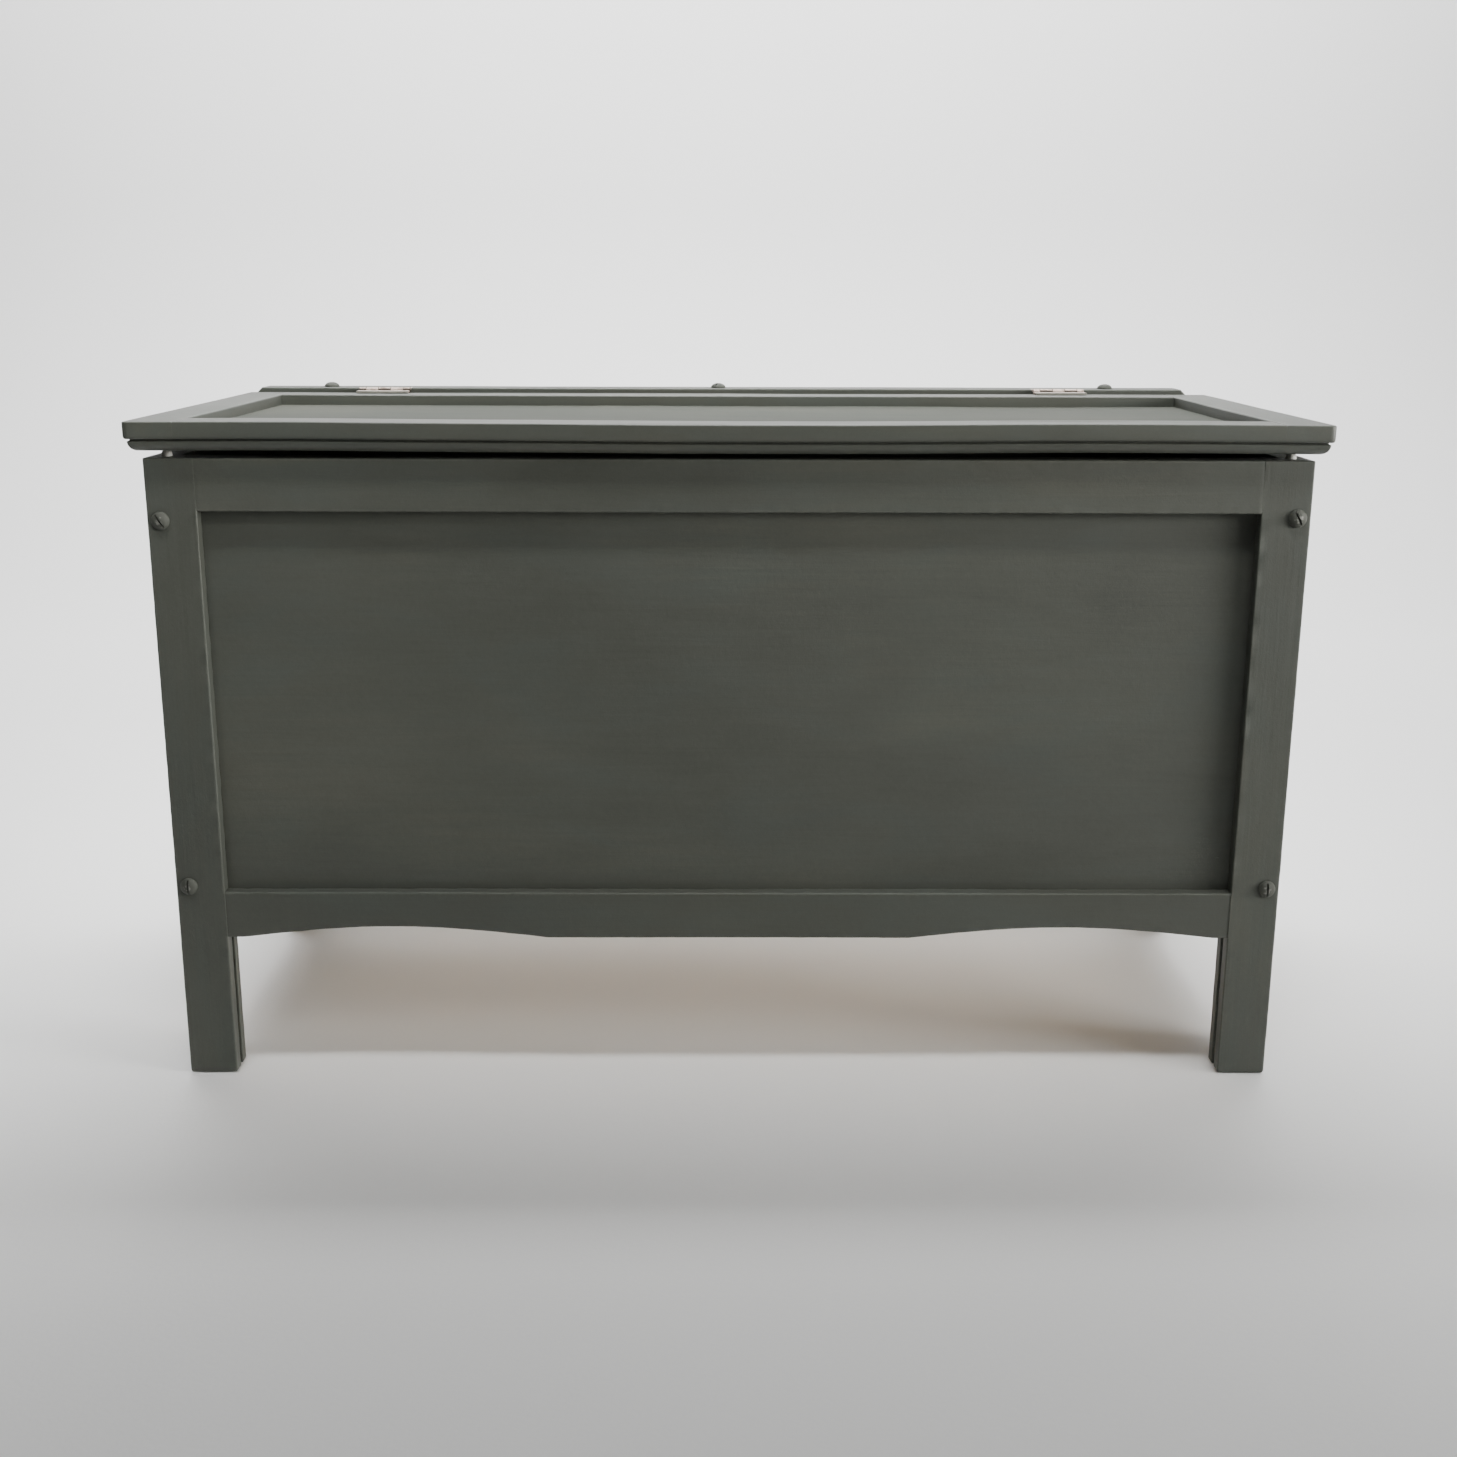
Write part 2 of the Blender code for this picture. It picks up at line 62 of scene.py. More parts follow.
def makeCamera():
    # forward comes from turn and tilt; right and up are then rolled about it
    c = cameraSet
    data = bpy.data.cameras.new("studioCamera")
    data.lens = c["lens"]
    data.sensor_width = c["sensor"]
    data.clip_end = c["farthest"]
    cam = bpy.data.objects.new("studioCamera", data)
    bpy.context.scene.collection.objects.link(cam)
    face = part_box("front_panel")[0].y - c["panelSetBack"]
    forward = Vector((math.sin(c["turn"]) * math.cos(c["tilt"]),
                      math.cos(c["turn"]) * math.cos(c["tilt"]), -math.sin(c["tilt"])))
    level = Vector((math.cos(c["turn"]), -math.sin(c["turn"]), 0.0))
    upright = level.cross(forward)
    right = level * math.cos(c["roll"]) + upright * math.sin(c["roll"])
    up = upright * math.cos(c["roll"]) - level * math.sin(c["roll"])
    cam.matrix_world = Matrix((
        (right.x, up.x, -forward.x, c["side"]),
        (right.y, up.y, -forward.y, face - c["fromFront"]),
        (right.z, up.z, -forward.z, c["height"]),
        (0.0, 0.0, 0.0, 1.0),
    ))
    bpy.context.scene.camera = cam


makeCamera()


class Wire:
    # one socket of a material, so that sums on it become Math nodes
    def __init__(self, finish, socket):
        self.finish = finish
        self.socket = socket

    def combine(self, operation, a, b):
        return self.finish.add("ShaderNodeMath", {"operation": operation}, {0: a, 1: b})

    def __add__(self, other):
        return self.combine("ADD", self, other)

    def __radd__(self, other):
        return self.combine("ADD", other, self)

    def __sub__(self, other):
        return self.combine("SUBTRACT", self, other)

    def __rsub__(self, other):
        return self.combine("SUBTRACT", other, self)

    def __mul__(self, other):
        return self.combine("MULTIPLY", self, other)

    def __rmul__(self, other):
        return self.combine("MULTIPLY", other, self)

    def __truediv__(self, other):
        return self.combine("DIVIDE", self, other)

    def __pow__(self, other):
        return self.combine("POWER", self, other)


class Finish:
    # a material under construction: add() makes any node, the rest are short names for common ones
    def __init__(self, name):
        self.material = bpy.data.materials.new(name)
        self.material.use_nodes = True
        self.tree = self.material.node_tree
        self.shader = self.tree.nodes["Principled BSDF"]
        self.here = Wire(self, self.tree.nodes.new("ShaderNodeTexCoord").outputs["Object"])

    def add(self, kind, settings=None, sockets=None, out=0):
        node = self.tree.nodes.new(kind)
        for key, value in (settings or {}).items():
            setattr(node, key, value)
        for key, value in (sockets or {}).items():
            self.feed(node.inputs[key], value)
        return Wire(self, node.outputs[out])

    def feed(self, socket, value):
        # a link for a Wire, or else a fixed value, cut to as many numbers as the socket holds
        if isinstance(value, Wire):
            self.tree.links.new(value.socket, socket)
        elif isinstance(value, (tuple, list)):
            socket.default_value = value[:len(socket.default_value)]
        else:
            socket.default_value = value

    def stretched(self, scale, shift=(0, 0, 0)):
        # object coordinates times scale, plus shift
        return self.add("ShaderNodeMapping", None, {"Vector": self.here, "Scale": scale, "Location": shift})

    def noise(self, where, scale, detail=3.0, rough=0.55, twist=0.0):
        return self.add("ShaderNodeTexNoise", None, {"Vector": where, "Scale": scale, "Detail": detail,
                                                     "Roughness": rough, "Distortion": twist})

    def band(self, value, low, high):
        # 0 below low, 1 above high, smooth between
        return self.add("ShaderNodeMapRange", {"interpolation_type": "SMOOTHSTEP"},
                        {"Value": value, "From Min": low, "From Max": high})

    def mark(self, name):
        # a value stored at each point of the mesh
        return self.add("ShaderNodeAttribute", {"attribute_name": name}, None, "Fac")

    def blend(self, amount, first, second, kind="MIX"):
        return self.add("ShaderNodeMix", {"data_type": "RGBA", "blend_type": kind},
                        {0: amount, 6: first, 7: second}, 2)

    def strengthen(self, colour, factor):
        return self.add("ShaderNodeVectorMath", {"operation": "SCALE"}, {0: colour, "Scale": factor})

    def bump(self, height, depth, strength=1.0):
        relief = {"Height": height, "Distance": depth, "Strength": strength}
        self.feed(self.shader.inputs["Normal"], self.add("ShaderNodeBump", None, relief))

    def finish(self, **values):
        # the shader's own sockets, with _ for a space in a name
        for key, value in values.items():
            self.feed(self.shader.inputs[key.replace("_", " ")], value)
        return self.material


paintLook = {
    "colour": (0.0600, 0.0640, 0.0515, 1.0),
    "cool": (0.0550, 0.0610, 0.0505, 1.0),   # where the coat is thicker
    "warm": (0.0660, 0.0668, 0.0520, 1.0),   # where it is rubbed thin
    "cloud": 0.30,                           # depth of the broad patches
    "patch": 0.22,                           # depth of the smaller ones
    "brush": 0.07,                           # depth of the bristle marks
    "speckle": 0.12,                         # depth of the specks a few millimetres across
    "ridge": 0.05,                           # depth of the ridges left by the brush
    "chalk": 0.28,                           # depth of the finest specks
    "wear": 0.38,                            # how much lighter the rubbed arrises are
    "relief": 0.00020,                       # height of the brushwork in metres
}
# scale along the brush and across it, detail, roughness and distortion of each layer
brushwork = {
    "cloud": (2.6, 6.5, 3.0, 0.55, 0.3),
    "patch": (9.0, 26.0, 4.0, 0.6, 0.5),
    "streak": (26.0, 420.0, 3.0, 0.6, 0.2),
    "ridge": (11.0, 150.0, 2.0, 0.5, 0.4),
    "grain": (3.0, 60.0, 4.0, 0.6, 0.8),
}


def alongAxis(axis, along, across):
    # three scales: along for the named axis, across for the others
    scale = [across] * 3
    scale["xyz".index(axis)] = along
    return tuple(scale)


def chalkPaint(name, axis, shift=(0.0, 0.0, 0.0), rough=0.60, relief=1.0, edge=0.5, shine=0.5):
    # chalk paint laid on with a brush along one axis, over wood whose grain shows through a little:
    # the colour's strength is 1 plus each layer's distance from its middle times its depth
    p = paintLook
    m = Finish(name)
    place = m.stretched((1, 1, 1), shift)
    cloud, patch, streak, ridge, grain = (
        m.noise(m.stretched(alongAxis(axis, along, across), shift), 1.0, detail, layerRough, twist)
        for along, across, detail, layerRough, twist in brushwork.values())
    chalk = m.noise(place, 900.0, 3.0, 0.65)
    clot = m.noise(place, 240.0, 3.0, 0.6)
    arris = m.mark("arris")
    worn = m.band(arris * (0.55 + 0.9 * clot), 0.66, 0.98)
    level = (1.0 + (cloud - 0.5) * (2 * p["cloud"]) + (patch - 0.5) * (2 * p["patch"])
             + (streak - 0.5) * p["brush"] + (ridge - 0.5) * p["ridge"]
             + (clot - 0.5) * p["speckle"] + (chalk - 0.5) * p["chalk"])
    base = m.blend(m.band(patch, 0.42, 0.70), p["colour"], p["cool"])
    base = m.blend(m.band(cloud + (ridge - 0.5) * 0.3, 0.50, 0.72) * 0.6, base, p["warm"])
    colour = m.strengthen(base, level * (1.0 + worn * (p["wear"] * edge)))
    roughness = rough + (patch - 0.5) * 0.16 + (chalk - 0.5) * 0.10 - worn * 0.04
    height = streak * 0.30 + ridge * 0.55 + grain * 0.9 + chalk * 0.30 + clot * 0.45
    m.bump(height, p["relief"] * relief)
    return m.finish(Base_Color=colour, Roughness=roughness, Specular_IOR_Level=shine)


steelLook = {
    "rubbed": (0.30, 0.30, 0.27, 1.0),
    # painted shade on the floor of the painted screws' slots
    "slot": (0.035, 0.037, 0.030, 1.0),
    "plate": (0.52, 0.43, 0.37, 1.0),
    "stain": (0.34, 0.27, 0.225, 1.0),
    # painted shade for the hinge knuckles' lower sides and the gaps between knuckles
    "paintedShade": (0.035, 0.027, 0.018, 1.0),
    "lappedPaint": (0.20, 0.205, 0.175, 1.0),
    "hingeScrew": (0.50, 0.45, 0.39, 1.0),
    # painted shade in the hinge screws' slots
    "hingeSlot": (0.05, 0.045, 0.04, 1.0),
}


def paintedScrew():
    # the same paint over steel, rubbed through on the crown, with painted shade on the slot's floor
    m = Finish("paintedScrewSteel")
    patch = m.noise(m.here, 420.0, 4.0, 0.6)
    rub = m.band(m.mark("crown") * 0.7 + patch * 0.6, 0.92, 1.06)
    coat = m.strengthen(paintLook["colour"], 0.95 + (patch - 0.5) * 0.35)
    colour = m.blend(rub * 0.7, coat, steelLook["rubbed"])
    # the slot's floor is painted darker, as painted shade
    colour = m.blend(m.mark("slot"), colour, steelLook["slot"])
    m.bump(patch, 0.00012)
    return m.finish(Base_Color=colour, Roughness=0.72 - rub * 0.22, Metallic=rub * 0.5)


def hingeSteel():
    # dull plated steel, brushed along X, with paint lapped over its outer edges, and painted shade on the
    # knuckles' lower sides and at their ends beside the gaps between knuckles
    s = steelLook
    m = Finish("hingePlate")
    brush = m.noise(m.stretched((60.0, 900.0, 900.0)), 1.0, 3.0, 0.6)
    stain = m.noise(m.here, 170.0, 4.0, 0.6)
    lapped = m.band(m.mark("lap") + (stain - 0.5) * 1.1, 0.50, 0.72)
    # painted shade: darkens the knuckles' lower sides and their ends beside the gaps
    paintedShade = m.band(m.mark("crevice") + (stain - 0.5) * 0.3, 0.30, 0.70)
    metal = m.blend(m.band(stain, 0.42, 0.66), s["plate"], s["stain"])
    metal = m.blend(paintedShade * 0.9, metal, s["paintedShade"])
    metal = m.strengthen(metal, 0.92 + (brush - 0.5) * 0.3)
    colour = m.blend(lapped * 0.85, metal, s["lappedPaint"])
    m.bump(brush * 0.4 + stain * 0.5 + lapped * 1.5, 0.00008)
    return m.finish(Base_Color=colour, Roughness=0.50 + (stain - 0.5) * 0.2 + lapped * 0.25 + paintedShade * 0.2,
                    Metallic=0.55 - lapped * 0.5 - paintedShade * 0.05)


def screwSteel():
    # clean steel, with painted shade in the slot
    m = Finish("hingeScrewSteel")
    stain = m.noise(m.here, 500.0, 3.0, 0.6)
    metal = m.strengthen(steelLook["hingeScrew"], 0.8 + stain * 0.4)
    # painted shade on the slot's floor
    colour = m.blend(m.mark("slot"), metal, steelLook["hingeSlot"])
    m.bump(stain, 0.00005)
    return m.finish(Base_Color=colour, Roughness=0.42, Metallic=0.85)


bareLook = {
    "pinePale": (0.60, 0.42, 0.24, 1.0),
    "pineDark": (0.44, 0.26, 0.12, 1.0),
    "birchPale": (0.60, 0.48, 0.34, 1.0),
    "birchDark": (0.49, 0.36, 0.22, 1.0),
    "rubber": (0.62, 0.61, 0.55, 1.0),
}


def softwood(name, axis, shift=(0.0, 0.0, 0.0)):
    # planed pine: long drawn-out growth lines, paler between
    m = Finish(name)
    lines = m.noise(m.stretched(alongAxis(axis, 1.2, 42.0), shift), 1.0, 5.0, 0.6, 1.2)
    pores = m.noise(m.stretched(alongAxis(axis, 20.0, 900.0), shift), 1.0, 3.0, 0.6)
    ring = m.band(lines, 0.44, 0.60)
    colour = m.blend(ring, bareLook["pinePale"], bareLook["pineDark"])
    colour = m.strengthen(colour, 0.93 + (pores - 0.5) * 0.25)
    m.bump(lines * 0.8 + pores * 0.5, 0.00018)
    return m.finish(Base_Color=colour, Roughness=0.62 + (pores - 0.5) * 0.15)


def plywoodFace():
    # rotary-cut birch face: broad wandering figure along X, with short dark flecks
    m = Finish("plywoodFace")
    figure = m.noise(m.stretched((1.4, 9.0, 9.0)), 1.0, 5.0, 0.6, 1.8)
    fleck = m.noise(m.stretched((60.0, 1400.0, 1400.0)), 1.0, 2.0, 0.5)
    colour = m.blend(m.band(figure, 0.36, 0.66), bareLook["birchPale"], bareLook["birchDark"])
    colour = m.strengthen(colour, 1.0 - m.band(fleck, 0.62, 0.75) * 0.18)
    m.bump(figure * 0.4 + fleck * 0.6, 0.00010)
    return m.finish(Base_Color=colour, Roughness=0.58 + (figure - 0.5) * 0.12)


def paleRubber():
    # soft clear rubber, a little dusty
    m = Finish("paleRubber")
    dust = m.noise(m.here, 700.0, 3.0, 0.6)
    colour = m.strengthen(bareLook["rubber"], 0.85 + dust * 0.3)
    m.bump(dust, 0.00004)
    return m.finish(Base_Color=colour, Roughness=0.45 + dust * 0.2)


# A shell is one closed surface: its points, blocks of corner numbers and marks at each point.
surfaceSet = {
    "wearWidth": 0.0016,     # how far the marks of an arris run into its faces
    "closeRow": 0.0004,      # the row of points beside each arris, so that the face stays flat
    "leastRadius": 0.00005,
    "cornerSteps": 5,        # points round each rounded corner
    "sharpAngle": 42,        # degrees; a sharper fold is drawn as an edge
}


def skin(rows, cols, wrap=True):
    # four-sided faces over a grid of rows by cols points, joined round if wrap
    ids = np.arange(rows * cols).reshape(rows, cols)
    near, far = (ids, np.roll(ids, -1, 1)) if wrap else (ids[:, :-1], ids[:, 1:])
    return np.stack([near[:-1], far[:-1], far[1:], near[1:]], -1).reshape(-1, 4)


def closedGrid(grid, marks):
    # a grid of stations by points round, with a flat cap at each end
    rows, cols = grid.shape[:2]
    ids = np.arange(rows * cols).reshape(rows, cols)
    marks = {key: np.broadcast_to(value, (rows, cols)).reshape(-1) for key, value in marks.items()}
    return grid.reshape(-1, 3), [skin(rows, cols), ids[:1, ::-1], ids[-1:]], marks


def signedVolume(points, blocks):
    # six times the volume: the sum of a . (b x c) over each face's fan of triangles
    total = 0.0
    for block in blocks:
        for i in range(1, block.shape[1] - 1):
            a, b, c = points[block[:, 0]], points[block[:, i]], points[block[:, i + 1]]
            total += np.einsum("ij,ij->", a, np.cross(b, c))
    return total


def putPiece(name, shells, material, body="box", instead=None):
    # one object from shells, each turned to face outwards
    points, rows, marks, start = [], [], {}, 0
    names = sorted({key for shell in shells for key in shell[2]})
    for shellPoints, blocks, shellMarks in shells:
        inward = signedVolume(shellPoints - shellPoints.mean(0), blocks) < 0
        for block in blocks:
            rows += ((block[:, ::-1] if inward else block) + start).tolist()
        for key in names:
            marks.setdefault(key, []).append(shellMarks.get(key, np.zeros(len(shellPoints))))
        points.append(shellPoints)
        start += len(shellPoints)
    mesh = bpy.data.meshes.new(name)
    mesh.from_pydata(np.concatenate(points).tolist(), [], rows)
    for key in names:
        attribute = mesh.attributes.new(key, "FLOAT", "POINT")
        attribute.data.foreach_set("value", np.concatenate(marks[key]).astype(np.float32))
    mesh.materials.append(material)
    mesh.shade_smooth()
    mesh.set_sharp_from_angle(angle=math.radians(surfaceSet["sharpAngle"]))
    piece = bpy.data.objects.new(name, mesh)
    bpy.context.scene.collection.objects.link(piece)
    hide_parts(*([instead] if isinstance(instead, str) else instead))
    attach(piece, body)
    return piece


def unit(v):
    # each vector divided by its length
    return v / np.maximum(np.linalg.norm(v, axis=-1, keepdims=True), 1e-9)


def outline(corners, radii, inset, flats, arcSteps=surfaceSet["cornerSteps"]):
    # corners: stations x corners x 2. inset: stations x edges, how far each edge is drawn in.
    # flats: how many points divide each edge.
    # Each corner becomes the curve (1-t)^2 A + 2t(1-t) C + t^2 B between points A and B on its two edges;
    # each edge is divided evenly, with a point close to either end so that its face stays flat.
    ahead = unit(np.roll(corners, -1, 1) - corners)
    later = np.roll(ahead, -1, 1)
    side = np.sign((ahead[..., 0] * later[..., 1] - ahead[..., 1] * later[..., 0]).sum(1))[:, None, None]
    normal = np.stack([ahead[..., 1], -ahead[..., 0]], -1) * side
    c = corners - inset[..., None] * normal - np.roll(inset, 1, 1)[..., None] * np.roll(normal, 1, 1)
    run = np.roll(c, -1, 1) - c
    length = np.linalg.norm(run, axis=-1)
    room = 0.45 * np.minimum(length, np.roll(length, 1, 1))
    reach = np.maximum(radii - 0.5 * (inset + np.roll(inset, 1, 1)), surfaceSet["leastRadius"])
    reach = np.minimum(reach, room)[..., None]
    towards = unit(run)
    a = c - reach * np.roll(towards, 1, 1)
    b = c + reach * towards
    t = np.linspace(0, 1, arcSteps)[:, None]
    parts, nearness = [], []
    for i, steps in enumerate(flats):
        ai, ci, bi, nextA = (v[:, i][:, None] for v in (a, c, b, np.roll(a, -1, 1)))
        parts.append((1 - t) ** 2 * ai + 2 * t * (1 - t) * ci + t ** 2 * bi)
        nearness.append(np.ones((len(corners), arcSteps)))
        if steps:
            span = np.linalg.norm(nextA - bi, axis=-1)
            close = np.minimum(surfaceSet["closeRow"] / np.maximum(span, 1e-6), 0.2)
            s = close + (1 - 2 * close) * np.linspace(0, 1, steps)
            parts.append(bi + (nextA - bi) * s[..., None])
            nearness.append(np.exp(-np.minimum(s, 1 - s) * span / surfaceSet["wearWidth"]))
    return np.concatenate(parts, 1), np.concatenate(nearness, 1)


def waves(points, seed, size, count=5):
    # a smooth unevenness: a sum of sine waves in seeded directions, between about -1 and 1
    rng = np.random.default_rng(seed)
    total = np.zeros(points.shape[:-1])
    for _ in range(count):
        direction = rng.normal(size=3)
        direction *= rng.uniform(0.5, 1.6) / size / np.linalg.norm(direction)
        total += np.sin(points @ direction * 2 * math.pi + rng.uniform(0, 7))
    return total / count * 1.6


def gridNormals(points):
    # the cross product of the steps round and along the grid
    return unit(np.cross(np.roll(points, -1, 1) - np.roll(points, 1, 1), np.gradient(points, axis=0)))


def endedStations(low, high, lowRadius, highRadius, step, extra=()):
    # places along a member with a quarter round at each end: over the round's angle f a place goes in
    # by r (1 - cos f) and its outline is drawn in by r (1 - sin f)
    f = np.linspace(0, math.pi / 2, surfaceSet["cornerSteps"])[:-1]
    middle = np.linspace(low + lowRadius, high - highRadius, max(2, int((high - low) / step)))
    middle = np.union1d(middle, [e for e in extra if low + lowRadius < e < high - highRadius])
    close = surfaceSet["closeRow"]
    stations = np.concatenate([[low], low + lowRadius * (1 - np.cos(f)), middle,
                               high - highRadius * (1 - np.cos(f[::-1])), [high]])
    inset = np.concatenate([[lowRadius + close], lowRadius * (1 - np.sin(f)), np.zeros(len(middle)),
                            highRadius * (1 - np.sin(f[::-1])), [highRadius + close]])
    return stations, inset


def ragged(shape, arris, along, seed):
    # built-up paint: each arris swells and shrinks along its length, by seeded sines 9 to 40 mm long
    rng = np.random.default_rng(seed + 500)
    total = np.zeros(shape.shape[:2])
    column = np.arange(shape.shape[1]) / 9.0
    for _ in range(7):
        length = rng.uniform(0.009, 0.040)
        drift = rng.uniform(-2.5, 2.5)
        total += np.sin(2 * math.pi * along / length + column[None, :] * drift + rng.uniform(0, 7))
    return total / 7 * arris


def carry(place, stations, inset, corners, radii, flats, seed=0, uneven=0.0001,
          lips=(), freeEnds=True, where=None):
    # an outline carried along a straight path; place turns (first, second, along) into world places.
    # lips gives each edge's raggedness, where its share at each station.
    count = len(stations)
    corners = np.broadcast_to(np.asarray(corners, float), (count,) + np.shape(corners)[-2:])
    edges = corners.shape[1]
    inset = np.repeat(np.asarray(inset, float)[:, None], edges, 1)
    radii = np.broadcast_to(np.asarray(radii, float), (count, edges))
    shape, arris = outline(corners, radii, inset, flats)
    along = np.repeat(stations[:, None], shape.shape[1], 1)
    grid = np.stack(place(shape[..., 0], shape[..., 1], along), -1)
    lift = waves(grid, seed, 0.22) * uneven + waves(grid, seed + 1, 0.05) * uneven * 0.35
    if lips:
        columns = np.repeat(lips, [surfaceSet["cornerSteps"] + f for f in flats])[None, :shape.shape[1]]
        share = 1.0 if where is None else where[:, None]
        lift = lift + ragged(shape, arris, along, seed) * columns * share
    grid = grid + gridNormals(grid) * lift[..., None]
    fromEnd = np.minimum(along - stations[0], stations[-1] - along)
    if freeEnds:
        arris = np.maximum(arris, np.exp(-fromEnd / surfaceSet["wearWidth"]))
    return closedGrid(grid, {"arris": arris})


def flatCount(low, high, step=0.008):
    # how many points divide a face, one every step
    return max(2, int(abs(high - low) / step))


frameShape = {
    "arris": 0.0012,         # rounding of the members' long edges
    "lip": 0.0008,           # rounding beside the groove
    "stile": 0.038,          # width of every stile
    "foot": 0.0028,          # rounding round the bottom of the legs
    "head": 0.0010,          # rounding round their tops
    "letIn": 0.0003,         # how far the rails run into the stiles, so that no gap shows
    "shoulder": 0.0001,      # rounding of the rails' ends
    "joint": 0.0003,         # rounding of the stile's edge beside a rail
    "topSetBack": 0.00012,   # how far the rails' faces lie behind the stiles'
    "bottomSetBack": 0.0005,
    "uneven": 0.00018,       # waviness of the members' faces
    "ragged": 0.00030,       # swelling of the paint along the lips round the panel
    "steady": 0.00014,       # the same along the outer arrises
    "frontGroove": 0.011,    # from the face of a frame to its panel's groove
    "sideGroove": 0.0075,
    "grooveDepth": 0.010,
    "grooveWidth": 0.0063,
    "grooveCorner": 0.0001,
    "grooveEnd": 0.0006,     # how far tongues and panels stop short of the groove's bottom
    "tongueGap": 0.00015,    # between a rail's tongue and the sides of the groove
    "tongueArris": 0.0002,
    "panelArris": 0.0003,
    "panelUneven": 0.00035,
    "archOuter": 0.390,      # from the middle of the front to either end of its arches
    "archInner": 0.145,
    "archRise": 0.009,
    "step": 0.003,           # between the outlines along a member
    "panelStep": 0.014,
}


def stileSection(width, thick, groove):
    # corners from the outer front arris round, as (across, depth from the face), with the groove inside
    g, depth, wide = groove, frameShape["grooveDepth"], frameShape["grooveWidth"]
    corners = [(0, 0), (width, 0), (width, g), (width - depth, g), (width - depth, g + wide),
               (width, g + wide), (width, thick), (0, thick)]
    arris, lip = frameShape["arris"], frameShape["lip"]
    corner = frameShape["grooveCorner"]
    radii = [arris, arris, lip, corner, corner, lip, arris, arris]
    return corners, radii, [7, 4, 3, 2, 3, 4, 7, 6]


def railSection(low, high, thick, groove, grooveOnTop):
    # low may vary along the rail; corners are (depth from the face, height)
    g, depth, wide = groove, frameShape["grooveDepth"], frameShape["grooveWidth"]
    low, high = np.broadcast_arrays(np.asarray(low, float), high)
    if grooveOnTop:
        plan = [(0, low), (thick, low), (thick, high), (g + wide, high), (g + wide, high - depth),
                (g, high - depth), (g, high), (0, high)]
    else:
        plan = [(0, high), (thick, high), (thick, low), (g + wide, low), (g + wide, low + depth),
                (g, low + depth), (g, low), (0, low)]
    corners = np.stack([np.stack([np.full(low.shape, d), z], -1) for d, z in plan], 1)
    arris, lip, corner = frameShape["arris"], frameShape["lip"], frameShape["grooveCorner"]
    return corners, [arris, arris, arris, lip, corner, corner, lip, arris], [6, 7, 3, 3, 2, 3, 4, 7]


def doubleArch(u):
    # rises by a half sine wave on each side of a flat middle
    f = frameShape
    t = np.clip((f["archOuter"] - np.abs(u)) / (f["archOuter"] - f["archInner"]), 0, 1)
    return f["archRise"] * np.sin(math.pi * t)


def singleArch(half):
    # one half sine wave from end to end
    return lambda u: frameShape["archRise"] * np.sin(math.pi * np.clip((half - u) / (2 * half), 0, 1))


def noArch(u):
    # a straight edge
    return 0.0 * u


